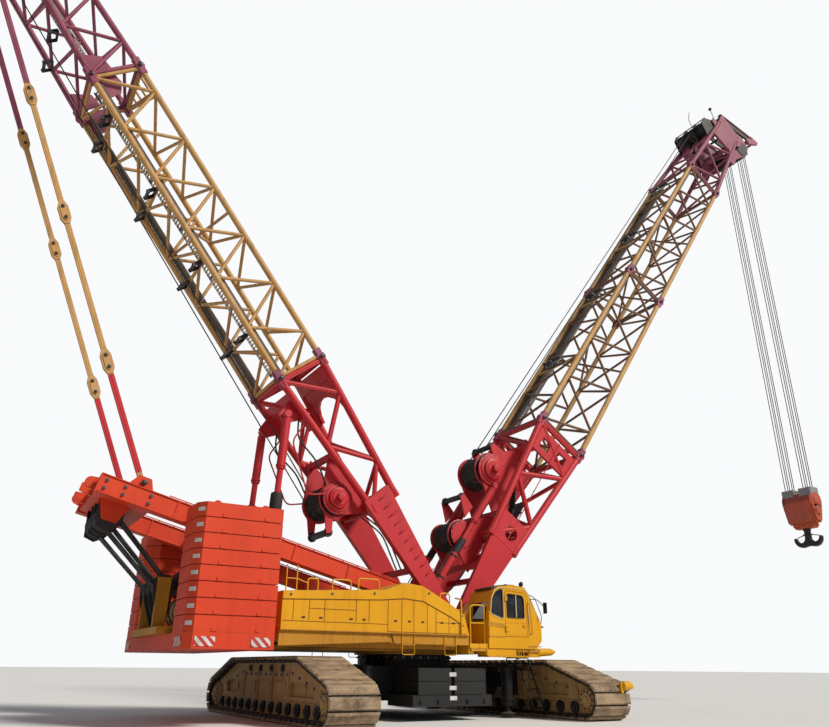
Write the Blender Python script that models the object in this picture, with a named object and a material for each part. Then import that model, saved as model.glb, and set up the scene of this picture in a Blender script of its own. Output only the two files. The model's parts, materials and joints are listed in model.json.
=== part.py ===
# Crawler crane with a raised boom and a mast leaning back, tracks turned across the upper works.
# Every length below is a real length in metres; K brings it to the size of this model.
# +X points to the boom side, +Y to the left of the upper works, +Z up. The slewing axis is at X = 0.
import math

import bmesh
import bpy
import numpy as np
from mathutils import Vector

for old in list(bpy.data.objects):
    bpy.data.objects.remove(old, do_unlink=True)

# ---------------------------------------------------------------- driving sizes
K = 0.5                      # model scale
GAP = 0.0008                 # space left between pieces that touch

TRACK_X = 4.2                # slewing axis to the middle of a track
SHOE_W = 1.4                 # shoe width
SHOE_PITCH = 0.365
TRACK_END = 4.5              # middle of the end wheel
TRACK_R = 0.56               # outside of the belt round the end wheel
TRACK_H = 1.68               # height of the raised top run
TRACK_SLOPE = 0.31           # rise of the sloping runs
BELT_T = 0.17                # belt thickness
FRAME_X = 0.45               # half width of a side frame

RING_Z = 1.78                # plane between lower and upper works
DECK_Z = 2.28                # top of the side decks
HALF_DECK = 3.1

FOOT_BOOM = (0.88, 2.32)     # boom foot pin, X and Z
BOOM_DEG = 54.75
BOOM_AXIS = (1.17, 2.73)     # a point on the boom axis
BOOM_HALF_W = 1.387
BOOM_HALF_D = 1.0975
BOOM_JOINTS = (8.7, 19.05, 29.4, 35.6)

FOOT_MAST = (0.80, 3.13)
MAST_DEG = 128.45
MAST_AXIS = (1.19, 3.06)
MAST_HALF_W = 1.16
MAST_HALF_D = 0.8675
MAST_JOINTS = (9.5, 21.1, 30.0)
STOP_MAST_IN = 1.16 - 0.14 * math.cos(math.pi / 12) - GAP    # inner side of the mast backstops
STOP_BOOM_IN = 0.86 - 0.12 * math.cos(math.pi / 12) - GAP    # inner side of the boom backstops

FOOT_GANTRY = (0.20, 3.22)
GANTRY_DEG = 165.96
GANTRY_Y = 1.62              # middle of a gantry beam
GANTRY_LEN = 10.85

STACK_OUT = 3.68             # outer face of the counterweight
STACK_IN = 1.95
STACK_REAR = -8.08
STACK_FRONT = -5.85
TRAY_Z = 1.78
TRAY_H = 0.38
SLAB_H = 0.391
SLABS = 8

SHEAVE_HEAD = (36.0, -1.62)  # hoist sheaves at the boom head, in the boom's own axes
SHEAVE_HEAD_R = 0.42
HOOK_TOP = 9.87              # top of the hook block


# ---------------------------------------------------------------- materials
def paint(name, colour, rough=0.45, metal=0.0, alpha=1.0):
    mat = bpy.data.materials.new(name)
    mat.use_nodes = True
    shader = mat.node_tree.nodes["Principled BSDF"]
    shader.inputs["Base Color"].default_value = (*colour, 1.0)
    shader.inputs["Roughness"].default_value = rough
    shader.inputs["Metallic"].default_value = metal
    shader.inputs["Alpha"].default_value = alpha
    mat.diffuse_color = (*colour, alpha)
    return mat


BLACK = paint("chassis_black", (0.012, 0.012, 0.014), 0.5)
GREY = paint("weight_grey", (0.045, 0.048, 0.05), 0.6)
SHOE = paint("shoe_steel", (0.22, 0.17, 0.11), 0.7, 0.6)
FRAME_TAN = paint("track_frame_paint", (0.42, 0.26, 0.08), 0.6)
YELLOW = paint("body_yellow", (0.80, 0.38, 0.0), 0.4)
ORANGE = paint("weight_orange", (0.65, 0.07, 0.02), 0.45)
RED = paint("boom_red", (0.55, 0.03, 0.035), 0.42)
OCHRE = paint("insert_ochre", (0.52, 0.31, 0.10), 0.5)
PURPLE = paint("tip_purple", (0.28, 0.08, 0.12), 0.5)
ROPE = paint("rope_steel", (0.03, 0.03, 0.03), 0.6, 0.5)
SHEAVE = paint("sheave_black", (0.02, 0.02, 0.022), 0.45)
STEEL = paint("rod_steel", (0.05, 0.05, 0.055), 0.3, 0.8)
GLASS = paint("cab_glass", (0.05, 0.07, 0.08), 0.08, 0.0, 0.35)
SEAT = paint("seat_fabric", (0.03, 0.03, 0.03), 0.8)


# ---------------------------------------------------------------- frames
class Frame:
    """A turned frame: s along the axis, y to the left, n towards the back face."""

    def __init__(self, point, degrees):
        a = math.radians(degrees)
        self.p = np.array([point[0], 0.0, point[1]])
        self.s = np.array([math.cos(a), 0.0, math.sin(a)])
        self.n = np.array([-math.sin(a), 0.0, math.cos(a)])

    def __call__(self, s, y, n):
        return self.p + s * self.s + np.array([0.0, y, 0.0]) + n * self.n

    def local(self, x, z):
        d = np.array([x, 0.0, z]) - self.p
        return float(d @ self.s), float(d @ self.n)


class World:
    def __call__(self, x, y, z):
        return np.array([x, y, z], dtype=float)


WORLD = World()
BOOM = Frame(BOOM_AXIS, BOOM_DEG)
HEAD = BOOM(SHEAVE_HEAD[0], 0, SHEAVE_HEAD[1])
HOOK_X = float(HEAD[0]) + SHEAVE_HEAD_R + 0.03 + GAP    # plane of the hoist falls
MAST = Frame(MAST_AXIS, MAST_DEG)
GANTRY = Frame(FOOT_GANTRY, GANTRY_DEG)


# ---------------------------------------------------------------- shapes: (points, faces)
def box(x0, x1, y0, y1, z0, z1, at=WORLD):
    pts = [at(x, y, z) for z in (z0, z1) for y in (y0, y1) for x in (x0, x1)]
    faces = [(0, 2, 3, 1), (4, 5, 7, 6), (0, 1, 5, 4), (2, 6, 7, 3), (0, 4, 6, 2), (1, 3, 7, 5)]
    return pts, faces


def plate(outline, lo, hi, axis="y", at=WORLD):
    """An outline of (u, v) pairs given thickness along one axis."""
    place = {
        "y": lambda u, v, w: at(u, w, v),
        "x": lambda u, v, w: at(w, u, v),
        "z": lambda u, v, w: at(u, v, w),
    }[axis]
    n = len(outline)
    pts = [place(u, v, w) for w in (lo, hi) for u, v in outline]
    faces = [tuple(range(n)), tuple(range(2 * n - 1, n - 1, -1))]
    faces += [(i, n + i, n + (i + 1) % n, (i + 1) % n) for i in range(n)]
    return pts, faces


def ring_frame(p, q):
    d = np.asarray(q, float) - np.asarray(p, float)
    d = d / np.linalg.norm(d)
    side = np.cross(d, (0.0, 1.0, 0.0))
    if np.linalg.norm(side) < 0.2:
        side = np.cross(d, (0.0, 0.0, 1.0))
    side = side / np.linalg.norm(side)
    return side, np.cross(d, side)


def tube(p, q, r, sides=8, r2=None, turn=0.5):
    """A solid rod from p to q."""
    u, v = ring_frame(p, q)
    pts = []
    for c, rad in ((np.asarray(p, float), r), (np.asarray(q, float), r if r2 is None else r2)):
        for i in range(sides):
            a = 2 * math.pi * (i + turn) / sides
            pts.append(c + rad * math.cos(a) * u + rad * math.sin(a) * v)
    faces = [tuple(range(sides)), tuple(range(2 * sides - 1, sides - 1, -1))]
    faces += [(i, sides + i, sides + (i + 1) % sides, (i + 1) % sides) for i in range(sides)]
    return pts, faces


def bar(p, q, w, h=None):
    """A square bar from p to q."""
    r = w / math.sqrt(2)
    pts, faces = tube(p, q, r, 4)
    if h is None:
        return pts, faces
    u, v = ring_frame(p, q)
    out = []
    for i, c in enumerate((p, p, p, p, q, q, q, q)):
        d = pts[i] - np.asarray(c, float)
        out.append(np.asarray(c, float) + u * (d @ u) + v * (d @ v) * (h / w))
    return out, faces


def turned(profile, y_axis_at, sides=16, at=WORLD, turn=0.5):
    """A solid of revolution about a line along Y. profile is (y, radius) from low y to high y."""
    cx, cz = y_axis_at
    pts = []
    for y, r in profile:
        for i in range(sides):
            a = 2 * math.pi * (i + turn) / sides
            pts.append(at(cx + r * math.cos(a), y, cz + r * math.sin(a)))
    m = len(profile)
    faces = [tuple(range(sides)), tuple(range(m * sides - 1, (m - 1) * sides - 1, -1))]
    for j in range(m - 1):
        b, t = j * sides, (j + 1) * sides
        faces += [(b + i, t + i, t + (i + 1) % sides, b + (i + 1) % sides) for i in range(sides)]
    return pts, faces


# ---------------------------------------------------------------- joints and solids
PLACE = {}


def joint(name, at, parent=None):
    empty = bpy.data.objects.new(name, None)
    empty.empty_display_size = 0.2
    bpy.context.scene.collection.objects.link(empty)
    here = np.asarray(at, float) * K
    PLACE[name] = here
    if parent:
        empty.parent = bpy.data.objects[parent]
        here = here - PLACE[parent]
    empty.location = Vector(here)
    return name


def raw(name, shape, origin):
    pts, faces = shape
    mesh = bpy.data.meshes.new(name)
    mesh.from_pydata([tuple(np.asarray(p, float) * K - origin) for p in pts], [], faces)
    bm = bmesh.new()
    bm.from_mesh(mesh)
    bmesh.ops.recalc_face_normals(bm, faces=bm.faces)
    bm.to_mesh(mesh)
    bm.free()
    obj = bpy.data.objects.new(name, mesh)
    bpy.context.scene.collection.objects.link(obj)
    return obj


def solid(name, parent, mat, shapes, cuts=(), bevel=0.0):
    """Joins the shapes into one closed body, takes the cuts out and hangs it on its joint."""
    origin = PLACE[parent] if parent else np.zeros(3)
    obj = raw(name, shapes[0], origin)
    helpers = []
    for label, operation, items in (("join", "UNION", shapes[1:]), ("cut", "DIFFERENCE", cuts)):
        if not items:
            continue
        group = bpy.data.collections.new(name + "_" + label)
        bpy.context.scene.collection.children.link(group)
        group.hide_render = True
        for item in items:
            helper = raw(name + "_" + label, item, origin)
            bpy.context.scene.collection.objects.unlink(helper)
            group.objects.link(helper)
            helper.hide_render = True
            helper.display_type = "WIRE"
            helpers.append(helper)
        mod = obj.modifiers.new(label, "BOOLEAN")
        mod.operation = operation
        mod.solver = "EXACT"
        mod.operand_type = "COLLECTION"
        mod.collection = group
    if helpers:
        bpy.context.view_layer.update()
        graph = bpy.context.evaluated_depsgraph_get()
        mesh = bpy.data.meshes.new_from_object(obj.evaluated_get(graph))
        obj.modifiers.clear()
        obj.data = mesh
        for helper in helpers:
            bpy.data.objects.remove(helper, do_unlink=True)
        for label in ("_join", "_cut"):
            group = bpy.data.collections.get(name + label)
            if group:
                bpy.data.collections.remove(group)
    tidy(obj.data)
    obj.data.materials.clear()
    obj.data.materials.append(mat)
    if parent:
        obj.parent = bpy.data.objects[parent]
    if bevel:
        mod = obj.modifiers.new("edge", "BEVEL")
        mod.width = bevel * K
        mod.segments = 1
        mod.limit_method = "ANGLE"
        mod.angle_limit = math.radians(40)
    return obj


def tidy(mesh):
    bm = bmesh.new()
    bm.from_mesh(mesh)
    bmesh.ops.remove_doubles(bm, verts=bm.verts, dist=0.00005)
    bmesh.ops.dissolve_degenerate(bm, edges=bm.edges, dist=0.00005)
    bmesh.ops.recalc_face_normals(bm, faces=bm.faces)
    bm.to_mesh(mesh)
    bm.free()


joint("ground_joint", (0, 0, 0))
joint("slew_joint", (0, 0, RING_Z), "ground_joint")
joint("door_joint", (1.765, -3.2 - 0.025 * math.cos(math.pi / 8) - GAP, 2.4), "slew_joint")
joint("gantry_joint", (FOOT_GANTRY[0], 0, FOOT_GANTRY[1]), "slew_joint")
joint("mast_joint", (FOOT_MAST[0], 0, FOOT_MAST[1]), "slew_joint")
joint("boom_joint", (FOOT_BOOM[0], 0, FOOT_BOOM[1]), "slew_joint")


# ---------------------------------------------------------------- crawlers
def belt_path():
    """Points and outward normals along the belt, as functions of the length run."""
    a_top = math.atan(TRACK_SLOPE)
    bend = 1.2
    y_bend = TRACK_END + TRACK_R * math.sin(a_top)
    z_bend = TRACK_R + TRACK_R * math.cos(a_top)
    y_flat = y_bend - (TRACK_H - z_bend) / TRACK_SLOPE
    cut = bend * math.tan(a_top / 2)
    legs = [("line", (-TRACK_END, 0.0), (TRACK_END, 0.0))]
    legs += [("arc", (TRACK_END, TRACK_R), TRACK_R, -math.pi / 2, math.pi / 2 - a_top)]
    up = (math.cos(a_top), math.sin(a_top))
    legs += [("line", (y_bend, z_bend), (y_flat + cut * up[0], TRACK_H - cut * up[1]))]
    legs += [("arc", (y_flat - cut, TRACK_H - bend), bend, math.pi / 2 - a_top, math.pi / 2)]
    legs += [("line", (y_flat - cut, TRACK_H), (-y_flat + cut, TRACK_H))]
    legs += [("arc", (-y_flat + cut, TRACK_H - bend), bend, math.pi / 2, math.pi / 2 + a_top)]
    legs += [("line", (-y_flat - cut * up[0], TRACK_H - cut * up[1]), (-y_bend, z_bend))]
    legs += [("arc", (-TRACK_END, TRACK_R), TRACK_R, math.pi / 2 + a_top, 3 * math.pi / 2)]
    spans = []
    for leg in legs:
        if leg[0] == "line":
            spans.append(math.dist(leg[1], leg[2]))
        else:
            spans.append(leg[2] * (leg[4] - leg[3]))

    def at(run):
        run = run % sum(spans)
        for leg, span in zip(legs, spans):
            if run <= span:
                break
            run -= span
        t = run / span
        if leg[0] == "line":
            (y0, z0), (y1, z1) = leg[1], leg[2]
            d = ((y1 - y0) / span, (z1 - z0) / span)
            return (y0 + (y1 - y0) * t, z0 + (z1 - z0) * t), (d[1], -d[0])
        a = leg[3] + (leg[4] - leg[3]) * t
        return (leg[1][0] + leg[2] * math.cos(a), leg[1][1] + leg[2] * math.sin(a)), (math.cos(a), math.sin(a))

    return at, sum(spans), spans


PATH, PATH_LENGTH, PATH_SPANS = belt_path()
SHOES = round(PATH_LENGTH / SHOE_PITCH)


def belt_outline():
    step = PATH_LENGTH / SHOES
    slot, deep = 0.045, 0.075
    out = []
    for i in range(SHOES):
        mid = (i + 0.5) * step
        for run, depth in ((mid - slot / 2, 0), (mid - slot / 2, deep), (mid + slot / 2, deep), (mid + slot / 2, 0)):
            (y, z), (ny, nz) = PATH(run)
            out.append((y - ny * depth, z - nz * depth))
    return out


def inner_loop(depth):
    out = []
    starts = np.cumsum([0.0] + PATH_SPANS)
    for i, span in enumerate(PATH_SPANS):
        curved = i % 2 == 1
        count = (10 if span > 1 else 3) if curved else 1
        for j in range(count):
            (y, z), (ny, nz) = PATH(starts[i] + span * (j / count if curved else 0.0) + 1e-6)
            out.append((y - ny * depth, z - nz * depth))
    return out


for side, x in (("front", TRACK_X), ("rear", -TRACK_X)):
    solid(
        "track_belt_" + side,
        "ground_joint",
        SHOE,
        [plate(belt_outline(), x - SHOE_W / 2, x + SHOE_W / 2, "x")],
        [plate(inner_loop(BELT_T), x - SHOE_W, x + SHOE_W, "x")],
    )
    web = plate(inner_loop(BELT_T + GAP), x - FRAME_X, x + FRAME_X, "x")
    flange_in = 3.5
    inner = (flange_in, x - FRAME_X + 0.05) if x > 0 else (x + FRAME_X - 0.05, -flange_in)
    flange = box(inner[0], inner[1], -1.75, 1.75, 0.5, 1.36)
    recess = []
    for y0, y1 in ((-3.6, -1.95), (1.95, 3.6)):
        recess.append(box(x - 1, x - FRAME_X + 0.1, y0, y1, 0.66, 1.0))
        recess.append(box(x + FRAME_X - 0.1, x + 1, y0, y1, 0.66, 1.0))
    solid("track_frame_" + side, "ground_joint", FRAME_TAN, [web, flange], recess)

# ---------------------------------------------------------------- carbody
CAR_END = 3.5 - GAP
carbody = [box(-CAR_END, CAR_END, -1.45, 1.45, 0.62, 1.44)]
carbody.append(tube((0, 0, 1.3), (0, 0, RING_Z - GAP), 1.5, 24))
for sx in (-1, 1):
    for sy in (-1, 1):
        carbody.append(bar((sx * 2.5, sy * 1.3, 1.08), (sx * 2.5, sy * 2.2, 1.08), 0.42))
        carbody.append(tube((sx * 2.5, sy * 2.2, 0.33), (sx * 2.5, sy * 2.2, 1.46), 0.17, 12))
solid("carbody", "ground_joint", BLACK, carbody)

for name, sy in (("right", -1), ("left", 1)):
    def span_y(a, b, sy=sy):
        return (a, b) if sy > 0 else (-b, -a)

    weights = [box(-1.36, 1.36, *span_y(1.45 + GAP, 2.92), 0.38, 0.68)]
    weights.append(box(-1.1, 1.1, *span_y(1.6, 2.8), 0.60, 1.36))
    for x0, x1 in ((-1.17, -0.06), (0.06, 1.17)):
        for z0 in (0.695, 1.055):
            weights.append(box(x0, x1, *span_y(1.5, 2.9), z0, z0 + 0.345))
    solid("carbody_weights_" + name, "ground_joint", GREY, weights)

# ---------------------------------------------------------------- slewing frame
Z0 = RING_Z
frame_shapes = [
    box(-5.62, 2.9, -0.86, 0.86, Z0 + 0.07, 2.80),
    box(-5.62, -1.15, -1.42, 1.42, Z0 + 0.08, 2.98),
    box(-5.60, 3.05, -1.70, 1.70, Z0 + 0.07, 1.96),
    box(-5.55, 0.45, -HALF_DECK, HALF_DECK, 2.04, DECK_Z),
    box(-5.0, 0.3, -2.6, 2.6, 1.90, 2.1),
    box(0.5, 3.12, -3.15, -0.8, Z0 + 0.09, 1.96 - GAP),
    box(-8.30, -5.5, -1.60, 1.60, TRAY_Z + TRAY_H + GAP, 2.35),
    tube((0, 0, Z0), (0, 0, Z0 + 0.2), 1.62, 24),
]
for sy in (-1, 1):
    inner = (0.84, 1.02) if sy > 0 else (-1.02, -0.84)
    outer = (1.49, 1.66) if sy > 0 else (-1.66, -1.49)
    mx, mz = FOOT_MAST
    bx, bz = FOOT_BOOM
    gx, gz = FOOT_GANTRY
    ear = [(-0.6, 2.6), (mx - 0.33, mz), (mx - 0.18, mz + 0.27), (mx + 0.18, mz + 0.27), (mx + 0.34, mz)]
    frame_shapes.append(plate(ear + [(1.6, 2.6)], *inner))
    cheek = [(-1.3, 1.9), (-1.3, 2.9), (gx - 0.28, gz + 0.05), (gx - 0.12, gz + 0.26), (gx + 0.12, gz + 0.26)]
    frame_shapes.append(plate(cheek + [(gx + 0.3, gz), (bx + 0.36, bz + 0.3), (1.7, 1.9)], *outer))
    pin_m = (0.9, 1.27) if sy > 0 else (-1.27, -0.9)
    pin_b = (1.33, 1.6) if sy > 0 else (-1.6, -1.33)
    pin_g = (1.55, 1.88) if sy > 0 else (-1.88, -1.55)
    frame_shapes.append(tube((mx, pin_m[0], mz), (mx, pin_m[1], mz), 0.132, 16, turn=0.0))
    frame_shapes.append(tube((bx, pin_b[0], bz), (bx, pin_b[1], bz), 0.132, 16, turn=0.0))
    frame_shapes.append(tube((gx, pin_g[0], gz), (gx, pin_g[1], gz), 0.1125, 16, turn=0.0))
    # feet of the mast and boom backstops, brackets of the lower gantry sheaves and of the rear drum
    for x, z, low, inner_face in ((-5.33, 3.30, 2.9, STOP_MAST_IN), (0.30, 3.35, 2.7, STOP_BOOM_IN)):
        lo, hi = (inner_face - 0.09, inner_face) if sy > 0 else (-inner_face, 0.09 - inner_face)
        foot = [(x - 0.3, low), (x - 0.2, z + 0.1), (x - 0.1, z + 0.2), (x + 0.1, z + 0.2), (x + 0.2, z + 0.1)]
        frame_shapes.append(plate(foot + [(x + 0.3, low)], lo, hi))
    lo, hi = (0.80, 0.92) if sy > 0 else (-0.92, -0.80)
    frame_shapes.append(plate([(-8.28, 2.2), (-8.28, 3.65), (-7.92, 3.65), (-7.95, 2.2)], lo, hi))
    lo, hi = (0.74, 0.82) if sy > 0 else (-0.82, -0.74)
    cheek = [(-6.8, 2.2), (-7.3, 3.4), (-7.5, 3.55), (-7.4, 3.85), (-7.0, 3.85), (-6.4, 2.2)]
    frame_shapes.append(plate(cheek, lo, hi))
solid("slewing_frame", "slew_joint", YELLOW, frame_shapes)

HOUSE = [
    (-5.52, DECK_Z + GAP), (-5.52, 3.27), (-2.44, 3.45), (-1.82, 3.68),
    (-1.2, 3.62), (-0.16, 3.11), (0.26, 2.87), (0.42, DECK_Z + GAP),
]


def inset(outline, d):
    """The outline moved in by d on every edge."""
    out = []
    n = len(outline)
    area = sum(outline[i][0] * outline[(i + 1) % n][1] - outline[(i + 1) % n][0] * outline[i][1] for i in range(n))
    turn = 1.0 if area > 0 else -1.0
    for i in range(n):
        p0, p1, p2 = (np.array(outline[(i + k) % n], float) for k in (-1, 0, 1))
        e0 = (p1 - p0) / np.linalg.norm(p1 - p0)
        e1 = (p2 - p1) / np.linalg.norm(p2 - p1)
        n0 = turn * np.array([-e0[1], e0[0]])
        n1 = turn * np.array([-e1[1], e1[0]])
        m = (n0 + n1) / (1.0 + float(n0 @ n1))
        out.append(tuple(p1 + m * d))
    return out


for name, sy in (("right", -1), ("left", 1)):
    lo, hi = (-3.18, -1.95) if sy < 0 else (1.95, 3.18)
    hollow = [(x, z if z > DECK_Z + 0.1 else DECK_Z - 0.3) for x, z in inset(HOUSE, 0.06)]
    solid(
        "machinery_house_" + name, "slew_joint", YELLOW,
        [plate(HOUSE, lo, hi)], [plate(hollow, lo + 0.06, hi - 0.06)],
    )
solid("engine_block", "slew_joint", BLACK, [box(-4.9, -2.5, 2.15, 2.95, DECK_Z + GAP, 3.12)])

# ---------------------------------------------------------------- cab
CAB_Y0, CAB_Y1, WALL = -3.2, -1.98, 0.05
CAB = [
    (1.12, 1.96), (1.13, 2.60), (1.22, 3.30), (1.33, 3.60), (1.53, 3.77), (2.08, 3.84), (2.56, 3.79),
    (2.70, 3.62), (3.18, 2.68), (3.16, 2.20), (2.96, 1.99), (2.80, 1.96),
]
DOOR = [(1.76, 2.30), (1.76, 3.58), (1.84, 3.66), (2.50, 3.62), (2.60, 3.50), (2.60, 2.30)]


def grown(outline, d):
    return inset(outline, -d)


def side_cut(outline, side):
    lo, hi = (CAB_Y0 - 0.2, CAB_Y0 + 0.2) if side < 0 else (CAB_Y1 - 0.2, CAB_Y1 + 0.2)
    return plate(outline, lo, hi)


QUARTER = [(1.25, 2.98), (1.30, 3.40), (1.42, 3.60), (1.58, 3.68), (1.67, 3.68), (1.67, 2.84)]
LEFT_WIN = [(1.32, 2.85), (1.38, 3.40), (1.62, 3.66), (2.50, 3.64), (2.62, 3.50), (2.95, 2.85)]
DOOR_WIN = [(1.84, 2.86), (1.84, 3.50), (1.90, 3.56), (2.44, 3.52), (2.50, 3.42), (2.50, 2.86)]
SCREEN_LO, SCREEN_HI = (3.155, 2.73), (2.725, 3.57)
screen_dir = np.array([SCREEN_HI[0] - SCREEN_LO[0], SCREEN_HI[1] - SCREEN_LO[1]])
SCREEN_LEN = float(np.linalg.norm(screen_dir))
SCREEN = Frame(SCREEN_LO, math.degrees(math.atan2(screen_dir[1], screen_dir[0])))
cab_cuts = [plate(inset(CAB, WALL), CAB_Y0 + WALL, CAB_Y1 - WALL)]
cab_cuts += [side_cut(DOOR, -1), side_cut(QUARTER, -1), side_cut(LEFT_WIN, 1)]
cab_cuts.append(box(0.03, SCREEN_LEN - 0.03, CAB_Y0 + 0.07, CAB_Y1 - 0.07, -0.3, 0.3, SCREEN))
cab_cuts.append(box(1.0, 1.4, CAB_Y0 + 0.2, CAB_Y1 - 0.2, 2.75, 3.30))
solid("cab_shell", "slew_joint", YELLOW, [plate(CAB, CAB_Y0, CAB_Y1)], cab_cuts)

G = 0.0016
door = [plate(inset(DOOR, 0.012), CAB_Y0, CAB_Y0 + WALL)]
for z in (2.45, 3.35):
    knuckle_y = CAB_Y0 - 0.025 * math.cos(math.pi / 8) - GAP
    door.append(tube((1.765, knuckle_y, z), (1.765, knuckle_y, z + 0.14), 0.025, 8))
    door.append(box(1.765, 1.86, -3.24, -3.19, z, z + 0.14))
solid("cab_door", "door_joint", YELLOW, door, [side_cut(DOOR_WIN, -1)])
solid("cab_door_glass", "door_joint", GLASS, [plate(inset(DOOR_WIN, G), CAB_Y0 + 0.015, CAB_Y0 + 0.035)])
solid("cab_glass_quarter", "slew_joint", GLASS, [plate(inset(QUARTER, G), CAB_Y0 + 0.015, CAB_Y0 + 0.035)])
solid("cab_glass_left", "slew_joint", GLASS, [plate(inset(LEFT_WIN, G), CAB_Y1 - 0.035, CAB_Y1 - 0.015)])
solid(
    "cab_glass_front", "slew_joint", GLASS,
    [box(0.03 + G, SCREEN_LEN - 0.03 - G, CAB_Y0 + 0.07 + G, CAB_Y1 - 0.07 - G, 0.012, 0.032, SCREEN)],
)
seat = [
    box(1.72, 2.12, -2.72, -2.46, 1.96 + WALL + GAP, 2.36),
    box(1.62, 2.22, -2.85, -2.33, 2.32, 2.50),
    box(1.52, 1.70, -2.83, -2.35, 2.40, 3.25),
    box(1.70, 2.20, -2.93, -2.84, 2.44, 2.66),
    box(1.70, 2.20, -2.34, -2.25, 2.44, 2.66),
]
solid("operator_seat", "slew_joint", SEAT, seat)

# ---------------------------------------------------------------- counterweight
tray_outline = [
    (STACK_FRONT, -STACK_OUT), (STACK_FRONT, STACK_OUT), (-7.90, STACK_OUT), (STACK_REAR, 3.45),
    (STACK_REAR, -3.45), (-7.90, -STACK_OUT),
]
solid("counterweight_tray", "slew_joint", ORANGE, [plate(tray_outline, TRAY_Z, TRAY_Z + TRAY_H, "z")])
for name, sy in (("right", -1), ("left", 1)):
    outline = [
        (STACK_FRONT, sy * STACK_OUT), (-7.90, sy * STACK_OUT), (STACK_REAR, sy * 3.40),
        (STACK_REAR, sy * 2.40), (-7.72, sy * STACK_IN), (STACK_FRONT, sy * STACK_IN),
    ]
    z = TRAY_Z + TRAY_H + GAP
    slabs = [plate(inset(outline, 0.05), z, z + SLAB_H * SLABS - 0.05, "z")]
    for i in range(SLABS):
        lo = z + SLAB_H * i + (0.0 if i == 0 else 0.012)
        slabs.append(plate(outline, lo, z + SLAB_H * (i + 1) - 0.012, "z"))
    solid("counterweight_stack_" + name, "slew_joint", ORANGE, slabs)

# ---------------------------------------------------------------- rear drum, tank and lower sheaves
solid(
    "fuel_tank", "slew_joint", FRAME_TAN,
    [turned([(-1.55, 0.28), (-1.47, 0.37), (-0.25, 0.37), (-0.17, 0.28)], (-7.5, 2.75)),
     box(-7.7, -7.3, -1.3, -0.4, 2.35 + GAP, 2.6)],
)
joint("rear_drum_joint", (-7.2, 0, 3.62), "slew_joint")


def spool(name, parent, centre, half, r_core, r_flange, mat, at=WORLD, flange=0.08):
    profile = [
        (-half, r_flange), (-half + flange, r_flange), (-half + flange + 0.005, r_core),
        (half - flange - 0.005, r_core), (half - flange, r_flange), (half, r_flange),
    ]
    return solid(name, parent, mat, [turned(profile, centre, 16, at)])


spool("rear_drum", "rear_drum_joint", (-7.2, 3.62), 0.74 - GAP, 0.30, 0.42, SHEAVE)
solid(
    "gantry_sheaves_lower", "slew_joint", SHEAVE,
    [turned([(-0.80 + GAP, 0.26), (0.80 - GAP, 0.26)], (-8.08, 3.42), 16)],
)

# ---------------------------------------------------------------- gantry
gantry = []
for sy in (-1, 1):
    gantry.append(box(1.15, GANTRY_LEN, sy * GANTRY_Y - 0.17, sy * GANTRY_Y + 0.17, -0.27, 0.26, GANTRY))
    y0, y1 = (1.68, 1.79) if sy > 0 else (-1.79, -1.68)
    eye = [(1.4, -0.26), (0.1, -0.24), (-0.2, -0.14), (-0.24, 0.1), (-0.1, 0.24), (0.2, 0.24), (1.4, 0.25)]
    gantry.append(plate(eye, y0, y1, "y", GANTRY))
    lug = [(9.45, -0.2), (9.62, -0.62), (9.82, -0.62), (10.05, -0.2)]
    y0, y1 = (1.255 + GAP, 1.36) if sy > 0 else (-1.36, -1.255 - GAP)
    gantry.append(plate(lug, y0, y1, "y", GANTRY))
    y0, y1 = (1.0, 1.06) if sy > 0 else (-1.06, -1.0)
    hanger = [(9.75, 0.2), (9.95, 0.72), (10.35, 0.72), (10.6, 0.2)]
    gantry.append(plate(hanger, y0, y1, "y", GANTRY))
    y0, y1 = (0.62, 0.74) if sy > 0 else (-0.74, -0.62)
    gantry.append(plate([(10.6, -0.2), (11.15, -0.1), (11.15, 0.12), (10.6, 0.2)], y0, y1, "y", GANTRY))
gantry.append(box(9.3, GANTRY_LEN - 0.05, -1.6, 1.6, -0.22, 0.22, GANTRY))
gantry.append(box(7.2, 7.5, -1.6, 1.6, -0.12, 0.12, GANTRY))
gantry_cuts = []
for sy in (-1, 1):
    gantry_cuts.append(tube(GANTRY(0, sy * 1.5, 0), GANTRY(0, sy * 2.0, 0), 0.116, 16))
    gantry_cuts.append(tube(GANTRY(9.72, sy * 1.0, -0.48), GANTRY(9.72, sy * 1.5, -0.48), 0.06, 12))
solid("gantry", "gantry_joint", ORANGE, gantry, gantry_cuts)
solid(
    "gantry_sheaves_upper", "gantry_joint", SHEAVE,
    [turned([(-1.0 + GAP, 0.34), (1.0 - GAP, 0.34)], (10.15, 0.58), 16, GANTRY)],
)

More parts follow.
